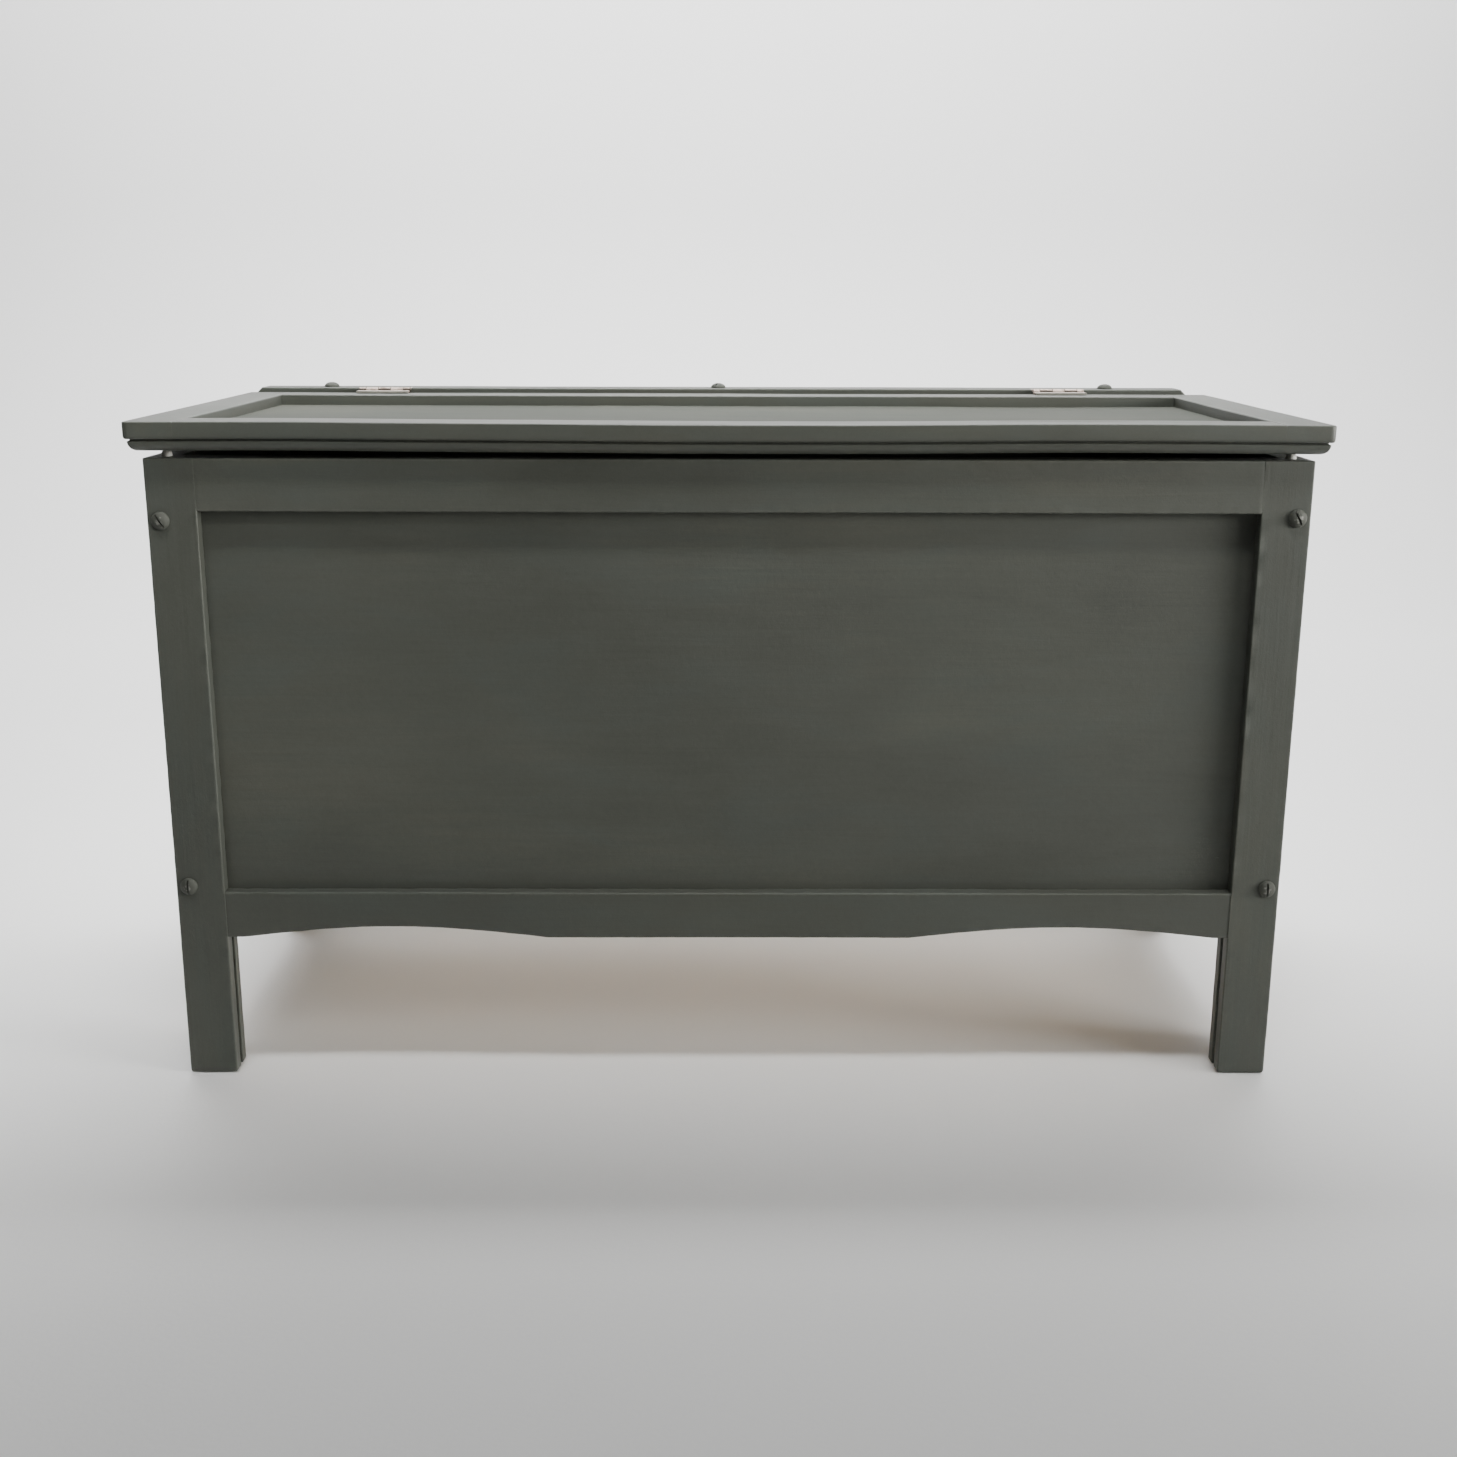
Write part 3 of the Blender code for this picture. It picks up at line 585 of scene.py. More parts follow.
def panelledFrame(face, sides, place, groove, arch, seed):
    # the two stiles, two rails and panel of one frame; place(across, depth, height) gives world places
    across = 0 if face in ("front", "back") else 1
    deep = 1 - across
    names = [face + "_" + side + "_stile" for side in sides]
    boxes = [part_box(n) for n in names]
    centre = sum(b[0][across] + b[1][across] for b in boxes) / 4
    width = boxes[0][1][across] - boxes[0][0][across]
    thick = boxes[0][1][deep] - boxes[0][0][deep]
    high = boxes[0][1].z
    half = max(abs(v[across] - centre) for b in boxes for v in b)
    opening = half - width
    f = frameShape
    rough, calm = f["ragged"], f["steady"]

    # stiles, sharper at the inner front arris where a rail meets it
    stileLips = [calm, rough, rough, 0, 0, rough, calm, calm]
    corners, radii, flats = stileSection(width, thick, groove)
    stations, inset = endedStations(0.0, high, f["foot"], f["head"], f["step"])
    lowRail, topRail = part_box(face + "_bottom_rail"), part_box(face + "_top_rail")
    free = (stations < lowRail[0].z) | ((stations > lowRail[1].z) & (stations < topRail[0].z))
    radii = np.tile(radii, (len(stations), 1))
    radii[:, 1] = np.where(free, f["arris"], f["joint"])
    for i, (name, sign) in enumerate(zip(names, (-1, 1))):
        shell = carry(lambda a, b, s: place(sign * (half - a), b, s), stations, inset, corners, radii,
                      flats, seed + i, f["uneven"], stileLips, where=0.15 + 0.85 * free)
        putPiece(name + "_wood", [shell], paints["stile" + "LR"[i]], instead=name)

    # rails, each with a tongue at either end that fills the stile's groove
    railLips = [calm, calm, rough, rough, 0, 0, rough, rough]
    shoulder = opening + f["letIn"]
    reach = opening + f["grooveDepth"] - f["grooveEnd"]
    axis = "xy"[across]
    for i, (kind, (low, top)) in enumerate((("_top_rail", topRail), ("_bottom_rail", lowRail))):
        stations, inset = endedStations(-shoulder, shoulder, f["shoulder"], f["shoulder"], f["step"],
                                        (-f["archOuter"], f["archOuter"], -f["archInner"], f["archInner"]))
        back = f["bottomSetBack"] if i else f["topSetBack"]
        lowEdge = low.z + (arch(stations) if i else 0.0 * stations)
        corners, radii, flats = railSection(lowEdge, top.z, thick - 2 * back, groove - back, i == 1)
        shells = [carry(lambda a, b, s: place(s, a + back, b), stations, inset, corners, radii, flats,
                        seed + 10 + i, f["uneven"], railLips, False)]
        near, far = groove + f["tongueGap"], groove + f["grooveWidth"] - f["tongueGap"]
        foot, crown = low.z + 0.0006, top.z - 0.0002
        corners = [(near, foot), (far, foot), (far, crown), (near, crown)]
        for side in (-1, 1):
            ends = sorted((side * (shoulder - 0.002), side * reach))
            stations, inset = endedStations(*ends, f["tongueArris"], f["tongueArris"], 0.004)
            shells.append(carry(lambda a, b, s: place(s, a, b), stations, inset, corners,
                                [f["tongueArris"]] * 4, [2, 12, 2, 12]))
        putPiece(face + kind + "_wood", shells, paints["rail" + axis], instead=face + kind)

    # panel, in the middle of the groove
    name = face + "_panel"
    low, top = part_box(name)
    board = top[deep] - low[deep]
    front = groove + 0.5 * f["grooveWidth"] - 0.5 * board
    corners = [(front, low.z), (front + board, low.z), (front + board, top.z), (front, top.z)]
    stations, inset = endedStations(-reach, reach, f["panelArris"], f["panelArris"], f["panelStep"])
    shell = carry(lambda a, b, s: place(s, a, b), stations, inset, corners, [f["panelArris"]] * 4,
                  [2, 24, 2, 24], seed + 20, f["panelUneven"])
    putPiece(name + "_board", [shell], paints["panel" + axis], instead=name)


lidShape = {
    "foot": 0.0096,          # how far the moulding's foot is cut back
    "stepHeight": 0.0081,    # height of the narrow groove above the underside
    "roundInset": 0.0026,    # how far the quarter round's top is cut back
    "swell": 1.8,            # 1 is a straight bevel, 2 a full quarter round
    "corner": 0.005,         # plan rounding at the front corners
    "joint": 0.00008,        # the same where two members meet
    "arris": 0.0011,
    "uneven": (0.0001, 0.0001, 0.00012),
    "panelEnd": 0.007,       # how far the panel stops short of its solid, inside the groove
    "panelArris": 0.0003,
    "panelUneven": 0.0004,
    # the groove: heights above or below stepHeight, with how much farther back than the quarter round
    "groove": ((-0.0006, 0.0003), (-0.0003, 0.0010), (0.0, 0.0018), (0.0009, 0.0019)),
    # the band above it: heights above stepHeight and how far back
    "band": ((0.0011, 0.0016), (0.0014, 0.0008), (0.0020, 0.0003), (0.0030, 0.0001), (0.0045, 0.0),
             (0.0070, 0.0)),
}
# how far the lid's front edge dips at places across its width
sagSet = {
    "places": [-0.45, -0.34, -0.23, 0.0, 0.08, 0.25, 0.33, 0.45],
    "drops": [0.0005, -0.0003, 0.0006, 0.0016, 0.0015, 0.0002, -0.0001, 0.0011],
    "smooth": 25,           # how many of the 200 steps across are averaged
}


def sag(points):
    # the front edge dips in the middle: the drops, joined and averaged, fade out towards the hinges
    x, y = points[..., 0], points[..., 1]
    front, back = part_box("lid_left_stile")[0].y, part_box("lid_left_stile")[1].y
    t = np.linspace(-0.46, 0.46, 200)
    wide = sagSet["smooth"]
    joined = np.pad(np.interp(t, sagSet["places"], sagSet["drops"]), wide // 2, "edge")
    curve = np.convolve(joined, np.ones(wide) / wide, "valid")
    out = points.copy()
    out[..., 2] -= np.interp(x, t, curve) * np.clip((back - y) / (back - front), 0, 1)
    return out


def mouldingLevels(high):
    # (height, moulded inset, plain inset) from the underside up: a quarter round, a narrow groove, a flat
    # band and the rounded top edge. Over the quarter round the inset grows by 1 - (1 - fall^p)^(1/p), where
    # fall runs from 0 at its top to 1 at its foot.
    m = lidShape
    fall = 1 - np.linspace(0.0, 1.0, 14) ** 1.4
    swell = 1 - (1 - fall ** m["swell"]) ** (1 / m["swell"])
    backs = m["roundInset"] + (m["foot"] - m["roundInset"]) * swell
    step, foot = m["stepHeight"], m["foot"]
    lower = [(0.0, foot + 0.0030, 0.0020), (0.0, foot + 0.0012, 0.0008), (0.00005, foot + 0.0004, 0.0003)]
    lower += [(0.0001 + (step - 0.0010) * (1 - down), back, 0.0) for down, back in zip(fall, backs)]
    lower += [(step + rise, m["roundInset"] + back, 0.0) for rise, back in m["groove"]]
    lower += [(step + rise, back, 0.0) for rise, back in m["band"]]
    turn = m["arris"] * (1 - np.cos(np.linspace(0, math.pi / 2, 6)))
    climb = high - m["arris"] * (1 - np.sin(np.linspace(0, math.pi / 2, 6)))
    upper = [(z, back, back) for z, back in zip(climb, turn)]
    upper += [(high, back, back) for back in (m["arris"] + 0.0005, m["arris"] + 0.006)]
    return np.array(lower + upper)


def lidMember(low, high, moulded, sign, seed):
    # a lid member as outlines stacked from the underside up; moulded says which plan edges carry the
    # moulding: front, outer, back, inner (for the left stile, sign -1, the outer edge is towards -X)
    levels = mouldingLevels(high.z - low.z)
    count = len(levels)
    xs = (high.x, low.x) if sign < 0 else (low.x, high.x)
    corners = np.array([(xs[0], low.y), (xs[1], low.y), (xs[1], high.y), (xs[0], high.y)])
    corners = np.broadcast_to(corners, (count, 4, 2))
    inset = np.stack([levels[:, 1 if m else 2] for m in moulded], 1)
    joint = lidShape["joint"]
    corner = lidShape["corner"] if moulded[0] and moulded[1] else joint
    radii = np.broadcast_to([joint, corner, joint, joint], (count, 4))
    flats = [flatCount(low.x, high.x), flatCount(low.y, high.y)] * 2
    shape, _ = outline(corners, radii, inset, flats, 9)
    z = np.repeat(levels[:, :1] + low.z, shape.shape[1], 1)
    grid = np.stack([shape[..., 0], shape[..., 1], z], -1)
    grid = grid + waves(grid, seed, 0.2)[..., None] * np.array(lidShape["uneven"])
    top = np.exp(-np.abs(z - high.z) / 0.0014) * (levels[:, 2:3] < 0.0030)
    edge = np.exp(-np.abs(z - low.z - lidShape["stepHeight"] - 0.0012) / 0.0008) * 0.5
    return closedGrid(sag(grid), {"arris": np.maximum(top, edge)})


def buildLid():
    # two stiles and two rails, alike in their unevenness so that no joint shows, then the panel
    for name, moulded, sign, paint in (
            ("lid_left_stile", (1, 1, 0, 0), -1, "lidy"), ("lid_right_stile", (1, 1, 0, 0), 1, "lidy"),
            ("lid_front_rail", (1, 0, 0, 0), 1, "lidx"), ("lid_back_rail", (0, 0, 0, 0), 1, "lidx")):
        low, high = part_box(name)
        if "rail" in name:
            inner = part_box("lid_right_stile")[0].x - 0.00003
            low.x, high.x = -inner, inner
            high.z -= 0.00005
        shell = lidMember(low, high, moulded, sign, 100)
        putPiece(name + "_wood", [shell], paints[paint], "lid", instead=name)
    low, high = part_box("lid_panel")
    end, arris = lidShape["panelEnd"], lidShape["panelArris"]
    stations, inset = endedStations(low.x + end, high.x - end, arris, arris, frameShape["panelStep"])
    corners = [(low.y + end, low.z), (high.y - end, low.z), (high.y - end, high.z), (low.y + end, high.z)]
    points, blocks, marks = carry(lambda a, b, s: (s, a, b), stations, inset, corners, [arris] * 4,
                                  [22, 2, 22, 2], 131, lidShape["panelUneven"])
    putPiece("lid_panel_board", [(sag(points), blocks, marks)], paints["lidPanel"], "lid",
             "lid_panel")


stripShape = {
    "arris": 0.0013,
    "underArris": 0.0006,
    "end": 0.0008,           # rounding of the sawn ends
    "chamfer": 0.005,        # along the top at either end
    "letIn": 0.0019,         # depth of the notches for the hinges
    "clearance": 0.0002,     # beyond either end of a hinge
    "uneven": 0.00015,
}
hingeShape = {
    "length": 0.048,
    "leaf": 0.0018,          # thickness of the plates
    "reach": 0.0165,         # from the pin's middle to a plate's far edge
    "arris": 0.0003,
    "knuckle": 0.0028,       # radius, as is the pin's
    "pin": 0.0012,
    "cutBack": 0.0022,       # between the knuckles and the solid part of a plate
    "knuckles": (0.0066, 0.0116, 0.0116, 0.0116, 0.0066),
    "gap": 0.00012,          # at either end of a knuckle
    # heights, in knuckle radii, between which each side's knuckles fade into painted shade
    "paintedShade": {"strip": (0.50, 0.72), "lid": (-0.60, -0.20)},
    "screwRadius": 0.0031,
    "screwHeight": 0.0006,
    "screwSunk": 0.00035,    # how far the rim of the head lies under the plate's face
    "screwSlot": (0.0007, 0.0005),
    "screwRolls": {"left": 25, "right": -50},
    "lidRoll": 30,           # degrees more for the screws on the lid's side
}


def hingeCentres():
    # the middle of each hinge along X
    return {hand: 0.5 * (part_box(hand + "_hinge_strip_leaf")[0].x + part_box(hand + "_hinge_strip_leaf")[1].x)
            for hand in ("left", "right")}


def buildStrip():
    # a bar along X whose top falls at 45 degrees near its ends and is notched for the hinge plates
    low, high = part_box("hinge_strip")
    centres = hingeCentres()
    s = stripShape
    half = 0.5 * hingeShape["length"] + s["clearance"]
    cuts = [c + d for c in centres.values() for d in (-half, -half + 0.00005, half - 0.00005, half)]
    cuts += [low.x + s["chamfer"], high.x - s["chamfer"]]
    stations, inset = endedStations(low.x, high.x, s["end"], s["end"], 0.008, cuts)
    drop = np.maximum(0, s["chamfer"] - np.minimum(stations - low.x, high.x - stations))
    top = high.z - drop
    inside = np.zeros(len(stations))
    for c in centres.values():
        inside[np.abs(stations - c) < half - 0.00001] = 1
    notch = s["letIn"] * inside
    pinY = 0.5 * sum(v.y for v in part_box("left_hinge_pin"))
    reachY = np.full(len(stations), pinY + hingeShape["reach"] + 0.0003)
    plan = [(low.y, low.z), (low.y, top - notch), (reachY, top - notch), (reachY, top), (high.y, top),
            (high.y, low.z)]
    corners = np.stack([np.stack(np.broadcast_arrays(np.asarray(a, float), b, stations)[:2], -1)
                        for a, b in plan], 1)
    radii = np.tile([s["underArris"], s["arris"], 0.0001, 0.0002, s["arris"], s["underArris"]],
                    (len(stations), 1))
    radii[:, 1] = np.where(inside > 0, 0.0004, s["arris"])
    shell = carry(lambda a, b, t: (t, a, b), stations, inset, corners, radii, [5, 3, 1, 3, 5, 6], 151,
                  s["uneven"])
    putPiece("hinge_strip_wood", [shell], paints["strip"], instead="hinge_strip")


def tube(xLow, xHigh, y, z, radius, rounding, sides=36, paintedShade=(-0.2, 0.3)):
    # a round bar along X with rounded ends; its last argument gives the heights, in radii, between which the
    # painted shade on its lower side fades out, and its ends get painted shade too
    stations, inset = endedStations(xLow, xHigh, rounding, rounding, 0.004)
    angle = np.linspace(0, 2 * math.pi, sides, endpoint=False)
    r = (radius - inset)[:, None]
    around = (stations[:, None], y + r * np.cos(angle), z + r * np.sin(angle))
    grid = np.stack(np.broadcast_arrays(*around), -1)
    near = np.exp(-np.minimum(stations - xLow, xHigh - stations) / 0.0004)[:, None]
    # painted shade: darker on the bar's lower side and at its ends
    low = np.clip((paintedShade[1] - np.sin(angle)) / (paintedShade[1] - paintedShade[0]), 0, 1)[None, :]
    return closedGrid(grid, {"arris": near, "lap": 0.0, "crevice": np.maximum(low, near * 0.8)})


def plate(low, high, rounding, farSide, step=0.004):
    # a flat bar along X; lap runs from 0 near the knuckles to 1 at the far edge (farSide 0: no lap)
    corners = [(low[1], low[2]), (high[1], low[2]), (high[1], high[2]), (low[1], high[2])]
    stations, inset = endedStations(low[0], high[0], rounding, rounding, step)
    points, blocks, marks = carry(lambda a, b, s: (s, a, b), stations, inset, corners, [rounding] * 4,
                                  [6, 2, 6, 2], 0, 0.0)
    nearY, farY = (low[1], high[1]) if farSide > 0 else (high[1], low[1])
    marks["lap"] = np.clip((points[:, 1] - nearY) / (farY - nearY), 0, 1) ** 3 * abs(farSide)
    return points, blocks, marks


headGrid = {
    "chords": 43,
    "reach": 88,             # degrees from the middle to the outermost chord
    "edge": 0.00004,         # chords this far on each side of a slot's edges
}


def dome(centre, radius, height, slot, roll, direction, full=0.5):
    # a round head over a disc cut into straight chords, so that the slot's edges stay straight.
    # Height over the disc is H (1 - r^2/R^2)^full, cut down to a flat bed inside the slot.
    g = headGrid
    lines = radius * np.sin(np.radians(np.linspace(-g["reach"], g["reach"], g["chords"])))
    if slot:
        edges = [v * (slot[0] / 2 + e) for v in (-1, 1) for e in (-g["edge"], g["edge"])]
        lines = np.concatenate([lines, edges])
    p = np.sort(lines)[:, None]
    chord = np.sqrt(radius ** 2 - p ** 2)
    q = chord * np.sin(np.radians(np.linspace(-90, 90, g["chords"])))
    p = np.broadcast_to(p, q.shape)
    h = height * np.clip(1 - (p ** 2 + q ** 2) / radius ** 2, 0, 1) ** full
    crown = h / height
    inSlot = np.zeros(h.shape)
    if slot:
        inside = np.abs(p) < slot[0] / 2
        inSlot = inside * (h > height - slot[1]) * 1.0
        h = np.where(inside, np.minimum(h, height - slot[1]), h)
    turn = math.radians(roll)
    a = q * math.cos(turn) - p * math.sin(turn)
    b = q * math.sin(turn) + p * math.cos(turn)
    axes = {"-y": (a, -h, b), "+y": (-a, h, b), "+z": (a, b, h)}
    grid = np.stack(axes[direction], -1) + np.array(centre)
    rows, cols = grid.shape[:2]
    ids = np.arange(rows * cols).reshape(rows, cols)
    rim = np.concatenate([ids[0], ids[1:-1, -1], ids[-1, ::-1], ids[1:-1, 0][::-1]])
    marks = {"crown": crown.ravel(), "slot": inSlot.ravel()}
    return grid.reshape(-1, 3), [skin(rows, cols, False), rim[None, ::-1]], marks


screwShape = {
    "radius": 0.0070,
    "height": 0.0042,
    "slot": (0.0015, 0.0018),   # width and depth
    "rolls": {                  # degrees by which each slot is turned
        "front_left_high": 122, "front_right_high": 118, "front_left_low": 90, "front_right_low": 90,
        "back_left_high": 105, "back_left_low": 160, "back_right_high": 170, "back_right_low": 40,
        "left": 15, "middle": 70, "right": -25,
    },
}


def middleOf(node):
    # half way between the corners of a solid's box
    low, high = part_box(node)
    return 0.5 * (low + high)


def buildScrews():
    # eight at the corners, facing front and back, and three on top of the strip; the crown of each is
    # level with the outer end of its solid
    s = screwShape
    heads = [("corner_screw_", face + "_" + hand + "_" + level, direction)
             for face, direction in (("front", "-y"), ("back", "+y"))
             for hand in ("left", "right") for level in ("low", "high")]
    heads += [("strip_screw_", hand, "+z") for hand in ("left", "middle", "right")]
    for kind, key, direction in heads:
        node = kind + key
        low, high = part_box(node)
        centre = middleOf(node)
        if direction == "+z":
            centre.z = high.z - s["height"]
        else:
            centre.y = low.y + s["height"] if direction == "-y" else high.y - s["height"]
        shell = dome(centre, s["radius"], s["height"], s["slot"], s["rolls"][key], direction)
        putPiece(node + "_head", [shell], paints["screw"], instead=node)


def buildHinges():
    # five knuckles round a pin, each joined by a short tongue to the plate on its own side
    h = hingeShape
    half = 0.5 * h["length"]
    for hand, centre in hingeCentres().items():
        pinLow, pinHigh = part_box(hand + "_hinge_pin")
        pinY, pinZ = 0.5 * (pinLow.y + pinHigh.y), 0.5 * (pinLow.z + pinHigh.z)
        stripFirst = hand == "left"
        edges = centre - half + np.concatenate([[0], np.cumsum(h["knuckles"])])
        for part, side, body in (("strip", 1, "box"), ("lid", -1, "lid")):
            first = stripFirst == (part == "strip")
            node = hand + "_hinge_" + part + "_leaf"
            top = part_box(node + "_screw_left")[1].z
            near, far = pinY + side * (h["knuckle"] + h["cutBack"]), pinY + side * h["reach"]
            low = (centre - half, min(near, far), top - h["leaf"])
            high = (centre + half, max(near, far), top)
            shells = [plate(low, high, h["arris"], side)]
            for i in range(5):
                if (i % 2 == 0) != first:
                    continue
                a, b = edges[i] + h["gap"], edges[i + 1] - h["gap"]
                shells.append(tube(a, b, pinY, pinZ, h["knuckle"], h["arris"], paintedShade=h["paintedShade"][part]))
                y = sorted((pinY + side * 0.0012, near + side * 0.0005))
                shells.append(plate((a, y[0], top - h["leaf"]), (b, y[1], top), 0.0002, 0, 0.006))
            putPiece(node + "_plate", shells, paints["hinge"], body, node)
            for place in ("left", "right"):
                screw = node + "_screw_" + place
                foot = middleOf(screw)
                foot.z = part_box(screw)[1].z - h["screwSunk"]
                roll = h["screwRolls"][place] + (h["lidRoll"] if part == "lid" else 0)
                shell = dome(foot, h["screwRadius"], h["screwHeight"], h["screwSlot"], roll, "+z", 0.25)
                putPiece(screw + "_head", [shell], paints["hingeScrew"], body, screw)
        pin = tube(pinLow.x - 0.0002, pinHigh.x + 0.0002, pinY, pinZ, h["pin"], 0.0004, 20)
        putPiece(hand + "_hinge_pin_steel", [pin], paints["hinge"],
                 instead=hand + "_hinge_pin")


insideShape = {
    "arris": 0.0005,
    "end": 0.0004,           # rounding of the boards' and battens' ends
    "step": 0.02,
    "uneven": 0.0002,
    "bufferFullness": 0.34,  # 0.5 is half an ellipsoid, less is fuller
}


def buildInside():
    # the floor on its battens, and the two soft buffers under the lid
    s = insideShape
    for node in ("floor_batten_front", "floor_batten_back", "floor_batten_left", "floor_batten_right",
                 "floor_panel"):
        low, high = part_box(node)
        lengthwise = "y" if node.endswith(("left", "right")) else "x"
        i, j = (0, 1) if lengthwise == "x" else (1, 0)
        stations, inset = endedStations(low[i], high[i], s["end"], s["end"], s["step"])
        corners = [(low[j], low.z), (high[j], low.z), (high[j], high.z), (low[j], high.z)]
        wide = flatCount(low[j], high[j], s["step"])
        place = (lambda a, b, t: (t, a, b)) if lengthwise == "x" else (lambda a, b, t: (a, t, b))
        shell = carry(place, stations, inset, corners, [s["arris"]] * 4, [wide, 2, wide, 2],
                      171 + len(node), s["uneven"])
        if node == "floor_panel":
            putPiece("floor_panel_board", [shell], paints["plywood"], instead=node)
        else:
            putPiece(node + "_wood", [shell], paints["pine" + lengthwise],
                     instead=node)
    for hand in ("left", "right"):
        node = "lid_buffer_" + hand
        low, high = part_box(node)
        foot = middleOf(node)
        foot.z = low.z
        shell = dome(foot, 0.5 * (high.x - low.x), high.z - low.z, None, 0, "+z", s["bufferFullness"])
        putPiece(node + "_dome", [shell], paints["rubber"], instead=node)


# chalkPaint's numbers in turn: shift of the pattern, roughness, relief, wear of the arrises, shine
paints = {
    "stileL": chalkPaint("paintUprightLeft", "z"),
    "stileR": chalkPaint("paintUprightRight", "z", (0.7, 0.3, 0.2)),
    "railx": chalkPaint("paintRailLong", "x", (0.2, 0.5, 0.1)),
    "raily": chalkPaint("paintRailShort", "y", (0.1, 0.2, 0.6)),
    "panelx": chalkPaint("paintPanelLong", "x", (0.4, 0.1, 0.3), 0.62, 0.8, 0.3),
    "panely": chalkPaint("paintPanelShort", "y", (0.6, 0.4, 0.3), 0.62, 0.8, 0.3),
    "lidx": chalkPaint("paintLidLong", "x", (0.3, 0.9, 0.2), 0.54, 0.7),
    "lidy": chalkPaint("paintLidShort", "y", (0.8, 0.3, 0.5), 0.54, 0.7),
    "lidPanel": chalkPaint("paintLidPanel", "x", (0.5, 0.6, 0.9), 0.80, 0.8, 0.3, 0.24),
    "strip": chalkPaint("paintStrip", "x", (0.9, 0.2, 0.4)),
    "screw": paintedScrew(),
    "hinge": hingeSteel(),
    "hingeScrew": screwSteel(),
    "pinex": softwood("pineLong", "x"),
    "piney": softwood("pineShort", "y", (0.3, 0.3, 0.3)),
    "plywood": plywoodFace(),
    "rubber": paleRubber(),
}
print("finishes made:", len(paints))

frontY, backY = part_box("front_left_stile")[0].y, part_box("back_left_stile")[1].y
leftX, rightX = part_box("left_front_stile")[0].x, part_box("right_front_stile")[1].x
sideLow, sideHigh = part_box("left_front_stile")[0].y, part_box("left_back_stile")[1].y
sideMiddle = 0.5 * (sideLow + sideHigh)
sideArch = singleArch(0.5 * (sideHigh - sideLow) - frameShape["stile"])
deepGroove, shallowGroove = frameShape["frontGroove"], frameShape["sideGroove"]
panelledFrame("front", ("left", "right"), lambda u, d, z: (u, frontY + d, z), deepGroove, doubleArch, 10)
panelledFrame("back", ("right", "left"), lambda u, d, z: (-u, backY - d, z), deepGroove, noArch, 40)
panelledFrame("left", ("back", "front"), lambda u, d, z: (leftX + d, sideMiddle - u, z), shallowGroove,
              sideArch, 60)
panelledFrame("right", ("front", "back"), lambda u, d, z: (rightX - d, sideMiddle + u, z), shallowGroove,
              sideArch, 80)
print("frames built")
buildLid()
print("lid built")
buildStrip()
buildHinges()
buildScrews()
print("strip, hinges and screws built")
buildInside()
print("floor and buffers built")


stageSet = {
    "colour": (0.88, 0.88, 0.87, 1.0),
    "front": -4.0,
    "back": 1.6,       # where the sheet begins to turn up
    "curve": 0.8,      # radius of the turn
    "top": 3.5,
    "half": 4.5,       # half the sheet's width
    "drop": 0.0005,    # how far it lies under the feet
}


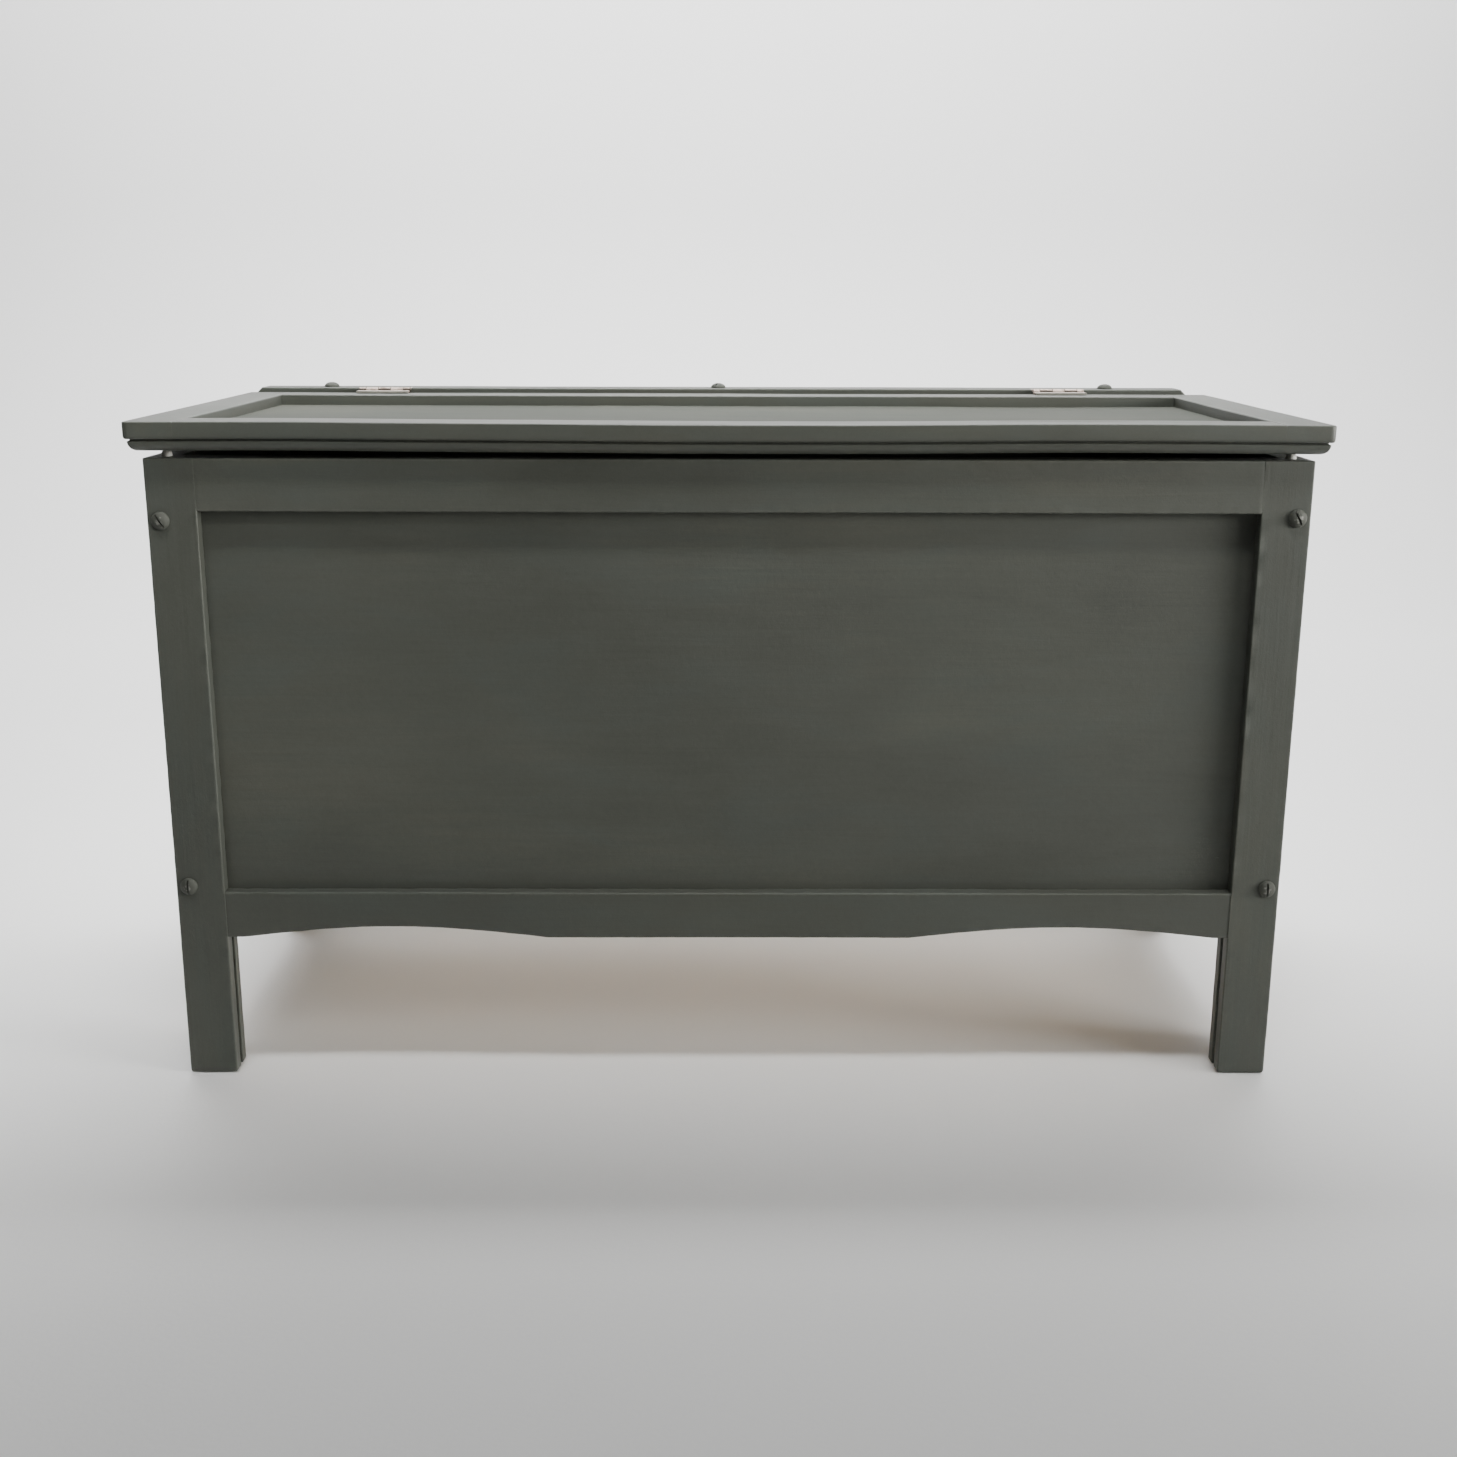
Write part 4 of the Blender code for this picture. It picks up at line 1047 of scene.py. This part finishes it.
def buildStage():
    # a sheet that lies flat, then turns up in a quarter circle behind the box
    s = stageSet
    flat = np.linspace(s["front"], s["back"], 40)
    a = np.linspace(0, math.pi / 2, 30)[1:]
    y = np.concatenate([flat, s["back"] + s["curve"] * np.sin(a), [s["back"] + s["curve"]] * 8])
    rise = np.linspace(s["curve"], s["top"], 9)[1:]
    z = np.concatenate([0 * flat, s["curve"] * (1 - np.cos(a)), rise]) - s["drop"]
    x = np.linspace(-s["half"], s["half"], 30)
    grid = np.stack(np.broadcast_arrays(x[None, :], y[:, None], z[:, None]), -1)
    faces = skin(len(y), len(x), False)
    mesh = bpy.data.meshes.new("sweep")
    mesh.from_pydata(grid.reshape(-1, 3).tolist(), [], faces.tolist())
    mesh.shade_smooth()
    m = Finish("sweepPaper")
    fibre = m.noise(m.here, 260.0, 3.0, 0.5)
    colour = m.strengthen(s["colour"], 0.985 + fibre * 0.03)
    m.bump(fibre, 0.0001)
    mesh.materials.append(m.finish(Base_Color=colour, Roughness=0.9))
    sweep = bpy.data.objects.new("sweep", mesh)
    bpy.context.scene.collection.objects.link(sweep)


lightSet = {
    # name: (place, aimed at, size, power, spread in degrees, colour)
    "keyLight": ((1.90, -1.25, 0.98), (0.1, -0.1, 0.62), (0.60, 0.60), 3.3, 70, (1.0, 0.985, 0.96)),
    "sideLight": ((2.40, -0.85, 0.72), (-0.1, -0.15, 0.46), (0.80, 0.60), 4.4, 40, (1.0, 0.99, 0.97)),
    "topLight": ((0.0, -0.80, 2.30), (0.0, 0.10, 0.50), (1.6, 0.25), 5.0, 40, (1.0, 1.0, 1.0)),
    "leftHigh": ((-0.15, -1.30, 1.65), (-0.47, -0.22, 0.62), (0.4, 0.4), 0.26, 20, (1.0, 0.99, 0.98)),
    "overhead": ((0.0, 0.55, 1.80), (0.0, 0.10, 0.50), (1.9, 0.7), 5.5, 100, (0.97, 0.985, 1.0)),
    "backWash": ((0.0, 0.9, 2.9), (0.0, 2.4, 0.9), (3.0, 0.8), 165.0, 140, (0.99, 0.99, 1.0)),
    "floorWash": ((0.0, -2.9, 2.6), (0.0, -2.4, 0.0), (3.0, 0.8), 4.0, 80, (0.99, 0.99, 1.0)),
}


roomLight = {"colour": (0.95, 0.97, 1.0, 1.0), "strength": 0.05}


def buildLights():
    # rectangular lamps, each turned from its place towards its aim, in a faint even light
    for name, (place, target, size, power, spread, colour) in lightSet.items():
        data = bpy.data.lights.new(name, "AREA")
        data.shape = "RECTANGLE"
        data.size, data.size_y = size
        data.energy = power
        data.spread = math.radians(spread)
        data.color = colour
        lamp = bpy.data.objects.new(name, data)
        lamp.location = place
        lamp.rotation_euler = (Vector(target) - Vector(place)).to_track_quat("-Z", "Y").to_euler()
        bpy.context.scene.collection.objects.link(lamp)
    world = bpy.data.worlds.new("studio")
    world.use_nodes = True
    background = world.node_tree.nodes["Background"]
    background.inputs["Color"].default_value = roomLight["colour"]
    background.inputs["Strength"].default_value = roomLight["strength"]
    bpy.context.scene.world = world


buildStage()
buildLights()
print("stage and light set")
